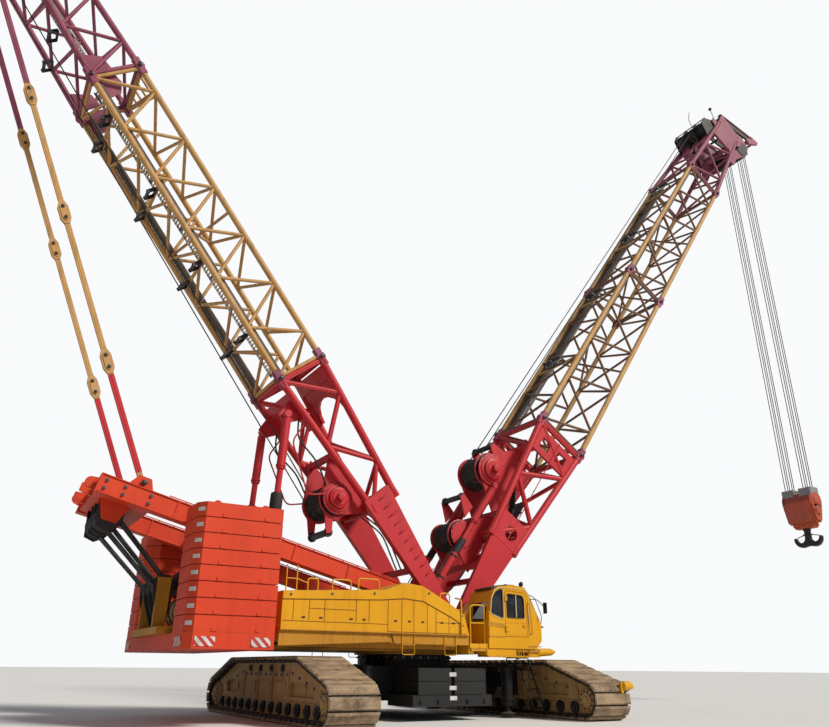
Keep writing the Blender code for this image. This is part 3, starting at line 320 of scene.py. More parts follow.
def wire_rope():
    """Greased wire rope: strands laid in a helix, shown by slanting bands and grit."""
    finish = Finish("wire_rope", Metallic=0.35)
    lay = finish.node(
        "ShaderNodeTexWave", {"bands_direction": "DIAGONAL"},
        {"Vector": finish.place(), "Scale": 22.0, "Distortion": 1.5, "Detail": 2.0}, 1,
    )
    grit = finish.noise(finish.place(), 30.0, 4)
    finish.set("Base Color", finish.mix((0.012, 0.012, 0.013), (0.075, 0.072, 0.068), lay * grit * 1.6))
    finish.set("Roughness", 0.45 + grit * 0.3)
    finish.bump(lay, 0.6, 0.004)
    return finish.mat


ROPE = wire_rope()


def rubber(name, colour=(0.014, 0.014, 0.015)):
    """Moulded rubber, dull, with dust in its skin."""
    finish = Finish(name)
    fine = finish.noise(finish.place(), 30.0, 5)
    finish.set("Base Color", finish.mix(colour, (0.06, 0.055, 0.05), finish.ramp(fine, 0.5, 0.8) * 0.5))
    finish.set("Roughness", 0.6 + fine * 0.25)
    finish.bump(fine, 0.25, 0.002)
    return finish.mat


RUBBER = rubber("hose_rubber")


def cast_shoes():
    """Cast manganese steel, dulled by dry earth that fills its hollows; its edges are lightened, partly bare
    metal polished where it is walked on and partly painted highlight.
    """
    finish = Finish("cast_shoe_steel", Metallic=0.15)
    earth = finish.ramp(finish.noise(finish.place((1, 3, 3)), 3.0, 5), 0.36, 0.62)
    cake = finish.ramp(finish.noise(finish.place(), 14.0, 5, 0.65), 0.45, 0.7)
    fine = finish.noise(finish.place(), 50.0, 4)
    tint = finish.mix((0.13, 0.078, 0.045), (0.37, 0.26, 0.15), earth)
    tint = finish.mix(tint, (0.43, 0.34, 0.23), cake * 0.55)
    tint = finish.mix(tint, (0.09, 0.05, 0.03), finish.ramp(fine, 0.62, 0.8) * 0.6)
    # Edges lighten: partly bare polished metal, partly painted highlight.
    polished_and_highlit = finish.edge(0.012) * finish.ramp(fine, 0.3, 0.6)
    finish.set("Base Color", finish.mix(tint, (0.48, 0.42, 0.35), polished_and_highlit * 0.6))
    finish.set("Roughness", 0.85 - polished_and_highlit * 0.3)
    finish.bump(cake + fine, 0.5, 0.006)
    return finish.mat


SHOE = cast_shoes()


def tinted_glass():
    """Tinted safety glass with a film of dust in patches."""
    finish = Finish("tinted_glass", Roughness=0.06, IOR=1.5)
    film = finish.ramp(finish.noise(finish.place(), 5.0, 5), 0.45, 0.8)
    finish.set("Base Color", finish.mix((0.012, 0.017, 0.026), (0.12, 0.12, 0.11), film * 0.25))
    finish.set("Alpha", 0.62 + film * 0.12)
    return finish.mat


GLASS = tinted_glass()


def seat_cloth():
    """Woven seat cover, charcoal, with a fine thread."""
    finish = Finish("seat_cloth", Roughness=0.9)
    thread = finish.node(
        "ShaderNodeTexWave", {"bands_direction": "Z"}, {"Vector": finish.place(), "Scale": 90.0}, 1,
    )
    blotch = finish.noise(finish.place(), 12.0, 4)
    finish.set("Base Color", finish.mix((0.02, 0.02, 0.022), (0.07, 0.07, 0.075), thread * blotch))
    finish.bump(thread, 0.4, 0.002)
    return finish.mat


SEAT = seat_cloth()

CAD_PAINT = {
    CHASSIS: ("carbody", "engine_block"),
    WEIGHT: ("carbody_weights_right", "carbody_weights_left"),
    TRACK_TAN: ("track_frame_front", "track_frame_rear", "fuel_tank"),
    SHOE: ("track_belt_front", "track_belt_rear"),
    SHADED_YELLOW: ("slewing_frame",),
    YELLOW: ("machinery_house_right", "machinery_house_left", "cab_shell", "cab_door"),
    ORANGE: (
        "counterweight_tray", "counterweight_stack_right", "counterweight_stack_left", "gantry", "hook_block",
    ),
    RED: (
        "mast_base", "boom_base", "mast_stop_barrel_right", "mast_stop_barrel_left", "mast_stop_rod_right",
        "mast_stop_rod_left", "boom_stop_barrel_right", "boom_stop_barrel_left", "boom_stop_rod_right",
        "boom_stop_rod_left",
    ),
    OCHRE: ("mast_insert", "boom_insert_1", "boom_insert_2", "pendant_right", "pendant_left"),
    PURPLE: ("mast_tip", "boom_tip"),
    ROPE: ("hoist_falls_right", "hoist_falls_left"),
    DARK_STEEL: (
        "gantry_sheaves_upper", "gantry_sheaves_lower", "mast_head_sheaves", "boom_head_sheaves",
        "boom_guide_sheaves", "hoist_drum_1", "hoist_drum_2", "mast_drum", "rear_drum", "hook",
    ),
    GLASS: ("cab_door_glass", "cab_glass_front", "cab_glass_left", "cab_glass_quarter"),
    SEAT: ("operator_seat",),
}
for paint, names in CAD_PAINT.items():
    for name in names:
        solid = frame["nodes"][name]
        solid.data.materials.clear()
        solid.data.materials.append(paint)


# ------------------------------------------------------------------ crawler shoes
# Each track is a closed chain of cast shoes, a flat plate with lapped lugs along both edges and two drive
# lugs inside, pinned to its neighbours and driven by the tumbler at one end.
TRACK_X, TRACK_END, TRACK_R, TRACK_H, TRACK_SLOPE = 4.2, 4.5, 0.56, 1.68, 0.31
HALF_SHOE, SHOE_PITCH, SHOE_INSET, BELT_T = 0.70, 0.365, 0.004, 0.17
BEND_R = 1.2


def ring_frame(p, q):
    """Two unit vectors square to the line from p to q."""
    d = np.asarray(q, float) - np.asarray(p, float)
    d = d / np.linalg.norm(d)
    side = np.cross(d, (0.0, 1.0, 0.0))
    if np.linalg.norm(side) < 0.2:
        side = np.cross(d, (0.0, 0.0, 1.0))
    side = side / np.linalg.norm(side)
    return side, np.cross(d, side)


def world(x, y, z):
    return np.array([x, y, z], dtype=float)


def box(x0, x1, y0, y1, z0, z1, at=world):
    pts = [at(x, y, z) for z in (z0, z1) for y in (y0, y1) for x in (x0, x1)]
    return pts, [(0, 2, 3, 1), (4, 5, 7, 6), (0, 1, 5, 4), (2, 6, 7, 3), (0, 4, 6, 2), (1, 3, 7, 5)]


def prism(lower, upper):
    """A closed solid between two outlines of as many points."""
    n = len(lower)
    faces = [tuple(range(n)), tuple(range(2 * n - 1, n - 1, -1))]
    faces += [(i, n + i, n + (i + 1) % n, (i + 1) % n) for i in range(n)]
    return list(lower) + list(upper), faces


def tapered(low, high):
    """A block between two level rectangles, each (x0, x1, y0, y1, z)."""
    return prism(*(
        [world(x, y, z) for x, y in ((x0, y0), (x1, y0), (x1, y1), (x0, y1))]
        for x0, x1, y0, y1, z in (low, high)
    ))


def plate(outline, lo, hi, at=world):
    """An outline of (u, v) pairs with its thickness along y."""
    return prism([at(u, lo, v) for u, v in outline], [at(u, hi, v) for u, v in outline])


def rod(p, q, r, sides=14):
    """A round solid from p to q."""
    u, v = ring_frame(p, q)
    turns = [2 * math.pi * (i + 0.5) / sides for i in range(sides)]
    rings = []
    for c in (np.asarray(p, float), np.asarray(q, float)):
        rings.append([c + r * math.cos(a) * u + r * math.sin(a) * v for a in turns])
    return prism(*rings)


def turned(profile, p=(0, 0, 0), q=(0, 0, 1), sides=24):
    """A solid of revolution on the line from p to q. profile is (metres along, radius)."""
    u, v = ring_frame(p, q)
    p = np.asarray(p, float)
    d = (np.asarray(q, float) - p) / np.linalg.norm(np.asarray(q, float) - p)
    pts = []
    for along, r in profile:
        for i in range(sides):
            a = 2 * math.pi * (i + 0.5) / sides
            pts.append(p + d * along + r * (math.cos(a) * u + math.sin(a) * v))
    m = len(profile)
    faces = [tuple(range(sides)), tuple(range(m * sides - 1, (m - 1) * sides - 1, -1))]
    for j in range(m - 1):
        b, t = j * sides, (j + 1) * sides
        faces += [(b + i, t + i, t + (i + 1) % sides, b + (i + 1) % sides) for i in range(sides)]
    return pts, faces


def arc(cx, cz, r, start, end, count):
    """Points of an arc, in degrees."""
    turns = np.radians(np.linspace(start, end, count))
    return [(cx + r * math.cos(a), cz + r * math.sin(a)) for a in turns]


def mesh_of(name, shapes, set_down=True):
    """One mesh of closed shapes, each with its faces pointing out."""
    pts, faces = [], []
    for shape_pts, shape_faces in shapes:
        base = len(pts)
        pts += [tuple(model_point(p)) if set_down else tuple(np.asarray(p, float) * SCALE) for p in shape_pts]
        faces += [tuple(base + i for i in face) for face in shape_faces]
    mesh = bpy.data.meshes.new(name)
    mesh.from_pydata(pts, [], faces)
    bm = bmesh.new()
    bm.from_mesh(mesh)
    bmesh.ops.recalc_face_normals(bm, faces=bm.faces)
    bm.to_mesh(mesh)
    bm.free()
    mesh.shade_smooth()
    mesh.set_sharp_from_angle(angle=math.radians(38))
    return mesh


def piece(name, shapes, finish, body, slot, bevel=0.0):
    """Shapes made one mesh, with softened edges, riding on a body."""
    made = bpy.data.objects.new(name, mesh_of(name, shapes))
    bpy.context.scene.collection.objects.link(made)
    made.data.materials.append(finish)
    if bevel:
        edge = made.modifiers.new("edge", "BEVEL")
        edge.width = bevel * SCALE
        edge.segments = 2
        edge.limit_method = "ANGLE"
        edge.angle_limit = math.radians(40)
        edge.harden_normals = True
    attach(made, body)
    return made


class Tree:
    """A Geometry Nodes tree, written as calls, with named inputs."""

    def __init__(self, name, inputs):
        self.group = bpy.data.node_groups.new(name, "GeometryNodeTree")
        sides = self.group.interface
        sides.new_socket("Geometry", in_out="INPUT", socket_type="NodeSocketGeometry")
        self.keys = {}
        for label, kind in inputs.items():
            made = sides.new_socket(label, in_out="INPUT", socket_type="NodeSocket" + kind)
            self.keys[label] = made.identifier
        sides.new_socket("Geometry", in_out="OUTPUT", socket_type="NodeSocketGeometry")
        self.entry = self.group.nodes.new("NodeGroupInput")
        self.exit = self.group.nodes.new("NodeGroupOutput")

    def given(self, label):
        return self.entry.outputs[label]

    def node(self, kind, settings=None, sockets=None, out=0):
        made = self.group.nodes.new(kind)
        for key, value in (settings or {}).items():
            setattr(made, key, value)
        for key, value in (sockets or {}).items():
            if isinstance(value, bpy.types.NodeSocket):
                self.group.links.new(value, made.inputs[key])
            else:
                made.inputs[key].default_value = value
        return made.outputs[out]

    def attribute(self, name, kind):
        return self.node("GeometryNodeInputNamedAttribute", {"data_type": kind}, {"Name": name})

    def end(self, geometry):
        whole = self.node("GeometryNodeRealizeInstances", None, {"Geometry": geometry})
        painted = self.node(
            "GeometryNodeSetMaterial", None, {"Geometry": whole, "Material": self.given("Finish")}
        )
        self.group.links.new(painted, self.exit.inputs[0])
        return self

    def grow(self, name, seed, values, body, slot):
        """Runs the tree on a seed mesh, and leaves a plain mesh that rides on a body."""
        maker = bpy.data.objects.new(name + "_seed", seed)
        bpy.context.scene.collection.objects.link(maker)
        run = maker.modifiers.new("grow", "NODES")
        run.node_group = self.group
        for label, value in values.items():
            run[self.keys[label]] = value
        bpy.context.view_layer.update()
        graph = bpy.context.evaluated_depsgraph_get()
        mesh = bpy.data.meshes.new_from_object(maker.evaluated_get(graph), depsgraph=graph)
        bpy.data.objects.remove(maker, do_unlink=True)
        made = bpy.data.objects.new(name, mesh)
        bpy.context.scene.collection.objects.link(made)
        if body:
            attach(made, body)
        return made


def repeating():
    """Copies of one small item, each turned by its own outward and along directions."""
    tree = Tree("repeat_item", {"Item": "Object", "Finish": "Material"})
    item = tree.node(
        "GeometryNodeObjectInfo", {"transform_space": "ORIGINAL"}, {"Object": tree.given("Item")}, 4,
    )
    facing = tree.node(
        "FunctionNodeAxesToRotation", {"primary_axis": "Z", "secondary_axis": "X"},
        {"Primary Axis": tree.attribute("outward", "FLOAT_VECTOR"),
         "Secondary Axis": tree.attribute("along", "FLOAT_VECTOR")},
    )
    copies = tree.node(
        "GeometryNodeInstanceOnPoints", None,
        {"Points": tree.given("Geometry"), "Instance": item, "Rotation": facing,
         "Scale": tree.attribute("share", "FLOAT")},
    )
    return tree.end(copies)


REPEAT = repeating()


def repeat(name, item, places, finish, body, slot):
    """One item at many places, each (point, outward, along) or (point, outward, along, share of its size)."""
    item = bpy.data.objects.new(name + "_item", mesh_of(name + "_item", item, False))
    bpy.context.scene.collection.objects.link(item)
    seed = bpy.data.meshes.new(name)
    seed.from_pydata([tuple(model_point(p[0])) for p in places], [], [])
    for label, column in (("outward", 1), ("along", 2)):
        layer = seed.attributes.new(label, "FLOAT_VECTOR", "POINT")
        layer.data.foreach_set("vector", np.array([p[column] for p in places], float).ravel())
    share = seed.attributes.new("share", "FLOAT", "POINT")
    share.data.foreach_set("value", [p[3] if len(p) > 3 else 1.0 for p in places])
    made = REPEAT.grow(name, seed, {"Item": item, "Finish": finish}, body, slot)
    bpy.data.objects.remove(item, do_unlink=True)
    return made


def belt_path():
    """The belt's outside as a function of the length run: a point and the outward normal, in y and z."""
    rise = math.atan(TRACK_SLOPE)
    y_bend, z_bend = TRACK_END + TRACK_R * math.sin(rise), TRACK_R + TRACK_R * math.cos(rise)
    y_flat = y_bend - (TRACK_H - z_bend) / TRACK_SLOPE
    cut = BEND_R * math.tan(rise / 2)
    c, s = math.cos(rise), math.sin(rise)
    half, low = math.pi / 2, TRACK_H - cut * s
    legs = [
        (None, (-TRACK_END, 0.0), (TRACK_END, 0.0)),
        ((TRACK_END, TRACK_R), TRACK_R, -half, half - rise),
        (None, (y_bend, z_bend), (y_flat + cut * c, low)),
        ((y_flat - cut, TRACK_H - BEND_R), BEND_R, half - rise, half),
        (None, (y_flat - cut, TRACK_H), (-y_flat + cut, TRACK_H)),
        ((-y_flat + cut, TRACK_H - BEND_R), BEND_R, half, half + rise),
        (None, (-y_flat - cut * c, low), (-y_bend, z_bend)),
        ((-TRACK_END, TRACK_R), TRACK_R, half + rise, 3 * half),
    ]
    spans = [math.dist(leg[1], leg[2]) if leg[0] is None else leg[1] * (leg[3] - leg[2]) for leg in legs]

    def at(run):
        for leg, span in zip(legs, spans):
            if run <= span:
                break
            run -= span
        if leg[0] is None:
            (y0, z0), (y1, z1) = leg[1], leg[2]
            share = run / span
            return (y0 + (y1 - y0) * share, z0 + (z1 - z0) * share), ((z1 - z0) / span, (y0 - y1) / span)
        a = leg[2] + (leg[3] - leg[2]) * run / span
        normal = (math.cos(a), math.sin(a))
        return (leg[0][0] + leg[1] * normal[0], leg[0][1] + leg[1] * normal[1]), normal

    return at, sum(spans)


belt_at, belt_length = belt_path()
shoe_count = round(belt_length / SHOE_PITCH)
lap = (-HALF_SHOE, HALF_SHOE, -0.148, 0.148, -0.035)
shoe = [
    tapered((0.04 - HALF_SHOE, HALF_SHOE - 0.04, -0.13, 0.13, -0.085), lap),
    tapered(lap, (0.03 - HALF_SHOE, HALF_SHOE - 0.03, -0.115, 0.115, 0.0)),
]
links = [box(-0.62, 0.62, -0.12, 0.12, -0.15, -0.088)]
for x in (-0.52, -0.18, 0.18, 0.52):
    links.append(box(x - 0.085, x + 0.085, 0.10, 0.205, -0.145, -0.075))
for x in (-0.35, 0.0, 0.35):
    links.append(box(x - 0.07, x + 0.07, -0.205, -0.10, -0.145, -0.075))
for x in (-0.56, 0.56):
    links.append(box(x - 0.08, x + 0.08, -0.14, 0.14, -BELT_T, -0.09))
for x0, x1 in ((-0.42, -0.26), (0.26, 0.42)):
    links.append(tapered((x0, x1, -0.09, 0.09, -BELT_T), (x0, x1, -0.13, 0.13, -0.09)))
EARTH = rubber("caked_links", (0.022, 0.016, 0.011))
for side, x in (("front", TRACK_X), ("rear", -TRACK_X)):
    places = []
    for i in range(shoe_count):
        (y, z), (ny, nz) = belt_at((i + 0.5) * belt_length / shoe_count)
        places.append(((x, y - SHOE_INSET * ny, z - SHOE_INSET * nz), (0, ny, nz), (1, 0, 0)))
    shoes = repeat("track_shoes_" + side, shoe, places, SHOE, "chassis", "shoe_steel")
    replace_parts(shoes, "track_belt_" + side)
    repeat("track_links_" + side, links, places, EARTH, "chassis", "shoe_steel")


# ------------------------------------------------------------------ side frames
# The side frame is a deep welded box, with track rollers under it, carrier rollers along its top, a tumbler
# and an idler at its ends, and rows of bolts and stiffeners on its webs. A lamp hangs off the front one.
FRAME_X = 0.45
bolt_head = [turned(
    [(0.0, 0.045), (0.012, 0.045), (0.014, 0.032), (0.045, 0.032), (0.05, 0.026)],
    sides=6,
)]
roller = [turned(
    [(0.0, 0.155), (0.03, 0.165), (0.07, 0.165), (0.08, 0.10), (0.11, 0.10), (0.12, 0.05), (0.135, 0.05)],
    sides=18,
)]
tumbler = [turned(
    [(0.0, 0.37), (0.05, 0.37), (0.07, 0.31), (0.10, 0.30), (0.10, 0.2), (0.14, 0.19), (0.14, 0.12),
     (0.19, 0.10), (0.19, 0.04)],
    sides=32,
)]
for side, x in (("front", TRACK_X), ("rear", -TRACK_X)):
    rollers, hubs, bolts, webs = [], [], [], []
    for sx in (-1, 1):
        face = x + sx * FRAME_X
        out = (sx, 0, 0)
        for y in np.linspace(-3.9, 3.9, 13):
            rollers.append(((face, y, 0.36), out, (0, 1, 0)))
        for y in (-1.35, -0.45, 0.45, 1.35):
            rollers.append(((face, y, 1.36), out, (0, 1, 0), 0.62))
        for y in (-TRACK_END, TRACK_END):
            hubs.append(((face, y, TRACK_R), out, (0, 1, 0)))
            for a in np.linspace(0, 2 * math.pi, 11)[:-1]:
                spot = (face + sx * 0.10, y + 0.25 * math.cos(a), TRACK_R + 0.25 * math.sin(a))
                bolts.append((spot, out, (0, 1, 0), 0.8))
        for y in np.linspace(-1.7, 1.7, 9):
            bolts.append(((face, y, 1.20), out, (0, 1, 0)))
        for y in (2.1, 2.6, 3.1, 3.6):
            for sy in (-1, 1):
                bolts.append(((face, sy * y, 1.28 - (y - 1.9) * 0.23), out, (0, 1, 0)))
        for y in (-4.05, -1.85, -0.6, 0.6, 1.85, 4.05):
            top = 1.30 if abs(y) < 2 else 0.86
            webs.append(box(*sorted((face - sx * 0.01, face + sx * 0.045)), y - 0.03, y + 0.03, 0.52, top))
        webs.append(box(*sorted((face - sx * 0.01, face + sx * 0.05)), -4.0, 4.0, 0.50, 0.545))
        for y in (-1.2, 0.0, 1.2):
            webs.append(box(*sorted((face - sx * 0.01, face + sx * 0.03)), y - 0.42, y + 0.42, 0.68, 1.02))
        for y in (-2.78, 2.78):
            webs.append(rod((face - sx * 0.12, y, 0.83), (face - sx * 0.06, y, 0.83), 0.11, 18))
    repeat("track_rollers_" + side, roller, rollers, DARK_STEEL, "chassis", "sheave_black")
    repeat("track_hubs_" + side, tumbler, hubs, TRACK_TAN, "chassis", "track_frame_paint")
    repeat("track_bolts_" + side, bolt_head, bolts, STEEL, "chassis", "rod_steel")
    piece("side_frame_webs_" + side, webs, TRACK_TAN, "chassis", "track_frame_paint", 0.008)

lamp = [
    turned(
        [(0, 0.06), (0.05, 0.13), (0.30, 0.13), (0.34, 0.09), (0.42, 0.09)],
        (4.6, -5.0, 0.95), (5.6, -5.0, 0.95),
    ),
    box(4.55, 4.65, -5.04, -4.96, 0.75, 1.05),
]
piece("front_track_lamp", lamp, YELLOW, "chassis", "body_yellow", 0.01)


# ------------------------------------------------------------------ pipes, rails, ropes and hoses
# Everything drawn from tube or wire follows a path of points with one radius: hand rails are bent from
# steel tube, hoses are rubber, and ropes are laid wire.
def piping():
    """Tube drawn along a path, as thick at each point as its attribute says."""
    tree = Tree("drawn_tube", {"Sides": "Int", "Finish": "Material"})
    path = tree.node("GeometryNodeMeshToCurve", None, {"Mesh": tree.given("Geometry")})
    ring = tree.node(
        "GeometryNodeCurvePrimitiveCircle", None, {"Resolution": tree.given("Sides"), "Radius": 1.0}
    )
    drawn = tree.node(
        "GeometryNodeCurveToMesh", None,
        {"Curve": path, "Profile Curve": ring, "Scale": tree.attribute("thick", "FLOAT"), "Fill Caps": True},
    )
    smooth = tree.node("GeometryNodeSetShadeSmooth", None, {"Geometry": drawn, "Shade Smooth": True})
    return tree.end(smooth)


PIPE = piping()


def bent(points, radius, steps=4):
    """A path whose inner corners are rounded, as a tube is bent."""
    pts = [np.asarray(p, float) for p in points]
    out = [pts[0]]
    for before, corner, after in zip(pts, pts[1:], pts[2:]):
        a, b = before - corner, after - corner
        cut = min(radius, np.linalg.norm(a) * 0.45, np.linalg.norm(b) * 0.45)
        p, q = corner + a / np.linalg.norm(a) * cut, corner + b / np.linalg.norm(b) * cut
        for t in np.linspace(0, 1, steps):
            out.append((1 - t) ** 2 * p + 2 * t * (1 - t) * corner + t * t * q)
    return out + [pts[-1]]


def pipes(name, paths, finish, body, slot, sides=10):
    """One mesh of drawn tubes. Each path is (points, radius)."""
    pts, edges, thick = [], [], []
    for path, radius in paths:
        base = len(pts)
        pts += [tuple(model_point(p)) for p in path]
        edges += [(base + i, base + i + 1) for i in range(len(path) - 1)]
        thick += [radius * SCALE] * len(path)
    seed = bpy.data.meshes.new(name)
    seed.from_pydata(pts, edges, [])
    seed.attributes.new("thick", "FLOAT", "POINT").data.foreach_set("value", thick)
    return PIPE.grow(name, seed, {"Sides": sides, "Finish": finish}, body, slot)


# ------------------------------------------------------------------ carbody fittings
# The carbody is a black box with a slewing ring bolted on its pedestal and jacks on its outriggers. Weights
# stand on trays at both ends, their plates blank, with a boarding ladder and rails by the front track.
tray_bolts = []
for sy in (-1, 1):
    for x in (-1.1, -0.5, 0.5, 1.1):
        tray_bolts.append(((x, sy * 2.92, 0.53), (0, sy, 0), (1, 0, 0), 1.5))
repeat("ring_bolts", bolt_head, [
    ((1.5 * math.cos(a), 1.5 * math.sin(a), 1.70), (math.cos(a), math.sin(a), 0), (0, 0, 1), 0.9)
    for a in np.linspace(0, 2 * math.pi, 37)[:-1]
], STEEL, "chassis", "rod_steel")
repeat("weight_tray_bolts", bolt_head, tray_bolts, DARK_STEEL, "chassis", "sheave_black")
label = [box(-0.12, 0.12, -0.055, 0.055, -0.001, 0.008)]
BLANK = enamel("blank_plate_paint", (0.62, 0.62, 0.60), (0.50, 0.50, 0.48), 0.4, 0.3, 0.2, 0.35)
plates = [((0.0, y, z), (0, -1, 0), (1, 0, 0)) for y, z in ((-2.9, 0.87), (-2.9, 1.23), (-2.92, 0.6))]
repeat("weight_plates", label, plates, BLANK, "chassis", "weight_grey")
handles = []
for sy in (-1, 1):
    for mid in (-0.615, 0.615):
        for z in (1.04, 1.40):
            handle = ((mid - 0.14, z), (mid - 0.14, z + 0.09), (mid + 0.14, z + 0.09), (mid + 0.14, z))
            handles.append((bent([(x, sy * 2.2, height) for x, height in handle], 0.05), 0.022))


def hoop(inner, outer, width):
    """Profile of a flat ring, to be turned."""
    return [(0, inner), (0, outer), (width, outer), (width, inner)]


jack_rings = []
for sx in (-1, 1):
    for sy in (-1, 1):
        spot = np.array((sx * 2.5, sy * 2.2, 0.0))
        jack_rings.append(turned(
            [(0.0, 0.24), (0.04, 0.26), (0.07, 0.26), (0.10, 0.12), (0.12, 0.09), (0.30, 0.09)],
            spot + (0, 0, 0.06), spot + (0, 0, 1), 24,
        ))
        for low, outer, wide in ((1.36, 0.21, 0.07), (0.5, 0.20, 0.05)):
            jack_rings.append(turned(hoop(0.175, outer, wide), spot + (0, 0, low), spot + (0, 0, 2), 24))
piece("jack_feet", jack_rings, CHASSIS, "chassis", "chassis_black", 0.006)
rails = []
for x in (2.95, 3.35):
    rails.append((bent([(x, -1.5, 1.50), (x, -2.3, 1.50), (x, -2.9, 0.25)], 0.15), 0.022))
    rails.append((bent([(x, -1.6, 1.50), (x, -1.6, 1.72), (x, -2.25, 1.72), (x, -2.55, 0.95)], 0.12), 0.018))
rails.append((bent([(2.1, -1.46, 1.50), (2.1, -1.9, 1.50), (3.4, -1.9, 1.50)], 0.1), 0.018))
rails.append((bent([(x, -1.6, z) for x, z in ((-1.36, 1.44), (-1.36, 1.60), (1.9, 1.60), (1.9, 1.44))],
                   0.08), 0.018))
pipes("carbody_rails", rails + handles, CHASSIS, "chassis", "chassis_black")
tread = [box(-0.2, 0.2, -0.09, 0.09, -0.012, 0.012), box(-0.2, 0.2, 0.07, 0.09, -0.012, 0.03)]
steps = []
for t in (0.12, 0.34, 0.56, 0.78, 0.98):
    steps.append(((3.15, -2.3 - 0.6 * t, 1.50 - 1.25 * t), (0, 0, 1), (1, 0, 0)))
repeat("boarding_treads", tread, steps, CHASSIS, "chassis", "chassis_black")
hoses = []
for i in range(4):
    y = -0.55 + 0.36 * i
    for sx in (1, -1):
        hose = ((1.9, y, 1.43), (2.3, y * 0.9, 1.47), (3.0, y * 0.8, 1.40), (3.45, y * 0.8, 1.30))
        hoses.append((bent([(sx * x, across, z) for x, across, z in hose], 0.3, 5), 0.03))
pipes("travel_motor_hoses", hoses, RUBBER, "chassis", "sheave_black")


# ------------------------------------------------------------------ lattice sections of boom and mast
# Chords and lacing are round high-strength tube, coped and welded at their nodes. Sections are pinned
# together at the four chord ends with forged eyes, and each end has a stiff frame across it.
class Line:
    """A turned frame: s along the axis, y to the left, n towards the back face."""

    def __init__(self, point, degrees):
        a = math.radians(degrees)
        self.foot = np.array([point[0], 0.0, point[1]])
        self.s = np.array([math.cos(a), 0.0, math.sin(a)])
        self.n = np.array([-math.sin(a), 0.0, math.cos(a)])

    def __call__(self, s, y, n):
        return self.foot + s * self.s + np.array([0.0, y, 0.0]) + n * self.n

    @classmethod
    def between(cls, low, high):
        """The frame that runs from one (x, z) point to another, and the distance between them."""
        dx, dz = high[0] - low[0], high[1] - low[1]
        return cls(low, math.degrees(math.atan2(dz, dx))), math.hypot(dx, dz)


BOOM = Line((1.17, 2.73), 54.75)
MAST = Line((1.19, 3.06), 128.45)
GANTRY = Line((0.20, 3.22), 165.96)
BOOM_W, BOOM_D, BOOM_OFF = 1.387, 1.0975, -0.03
MAST_W, MAST_D = 1.16, 0.8675
BOOM_JOINTS, MAST_JOINTS = (8.7, 19.05, 29.4), (9.5, 21.1)


def lacing(at, s0, s1, panels, w, d, chord, lace, offset=0.0, bare=0.0):
    """Paths of a four-chord section. w and d are (start, end) half widths and half depths."""
    def size(s):
        t = (s - s0) / (s1 - s0)
        return w[0] + (w[1] - w[0]) * t, d[0] + (d[1] - d[0]) * t

    paths = []
    for sy in (-1, 1):
        for sn in (-1, 1):
            ends = [at(s, sy * size(s)[0], sn * size(s)[1] + offset) for s in (s0, s1)]
            paths.append((ends, chord))
    marks = np.linspace(s0 + lace, s1 - lace, 2 * panels + 1)
    for i, (a, b) in enumerate(zip(marks, marks[1:])):
        (wa, da), (wb, db) = size(a), size(b)
        up = 1 if i % 2 == 0 else -1
        for sy in (-1, 1):
            paths.append(([at(a, sy * wa, up * da + offset), at(b, sy * wb, -up * db + offset)], lace))
        for sn in (-1, 1):
            if not (sn > 0 and (a + b) / 2 < bare):
                n = (sn * (da + 0.012) + offset, sn * (db + 0.012) + offset)
                paths.append(([at(a + 0.02, up * wa, n[0]), at(b - 0.013, -up * wb, n[1])], lace * 0.95))
    for s in (marks[0], marks[-1]):
        half_w, half_d = size(s)
        for sign in (-1, 1):
            n, y = sign * half_d + offset, sign * half_w
            paths.append(([at(s, -half_w, n), at(s, half_w, n)], lace * 1.1))
            paths.append(([at(s, y, -half_d + offset), at(s, y, half_d + offset)], lace * 1.1))
    return paths


def diagonal_frame(at, s, w, d, lace, offset):
    """Two crossed tubes in a plane across the section, which keep it square."""
    return [([at(s, -w, -d + offset), at(s, w, d + offset)], lace),
            ([at(s, w, -d + offset), at(s, -w, d + offset)], lace)]


BOOM_LACE, MAST_LACE = 0.056, 0.058
# Painted shade: the boom inserts' lacing is their ochre darkened to brown and to a purple grey, as if it lay
# in shade.
SHADED_LACE = enamel(
    "lacing_painted_shade", (0.23, 0.115, 0.06), (0.13, 0.075, 0.075), 0.55, 0.6, 0.4, 0.75, (0.05, 0.035, 0.035),
)
full_boom, full_mast = ((BOOM_W, BOOM_W), (BOOM_D, BOOM_D)), ((MAST_W, MAST_W), (MAST_D, MAST_D))
sections = (
    ("boom_base", BOOM, (3.3, 8.7, 2, (BOOM_W, BOOM_W), (0.571, BOOM_D), 0.133, 0.088, BOOM_OFF, 7.2),
     RED, "boom", "boom_red"),
    ("boom_insert_1", BOOM, (8.71, 19.04, 4, *full_boom, 0.112, BOOM_LACE, BOOM_OFF),
     OCHRE, "boom", "insert_ochre"),
    ("boom_insert_2", BOOM, (19.06, 29.39, 4, *full_boom, 0.112, BOOM_LACE, BOOM_OFF),
     OCHRE, "boom", "insert_ochre"),
    ("boom_tip", BOOM, (29.41, 35.6, 2, (BOOM_W, 1.15), (BOOM_D, 0.80), 0.124, 0.067, BOOM_OFF),
     PURPLE, "boom", "tip_purple"),
    ("mast_base", MAST, (4.2, 9.5, 2, (MAST_W, MAST_W), (0.50, MAST_D), 0.124, 0.073, 0.0, 6.4),
     RED, "mast", "boom_red"),
    ("mast_insert", MAST, (9.51, 21.09, 6, *full_mast, 0.10, MAST_LACE, 0.0),
     OCHRE, "mast", "insert_ochre"),
    ("mast_tip", MAST, (21.11, 28.8, 4, (MAST_W, 1.12), (MAST_D, 0.62), 0.104, 0.059),
     PURPLE, "mast", "tip_purple"),
)
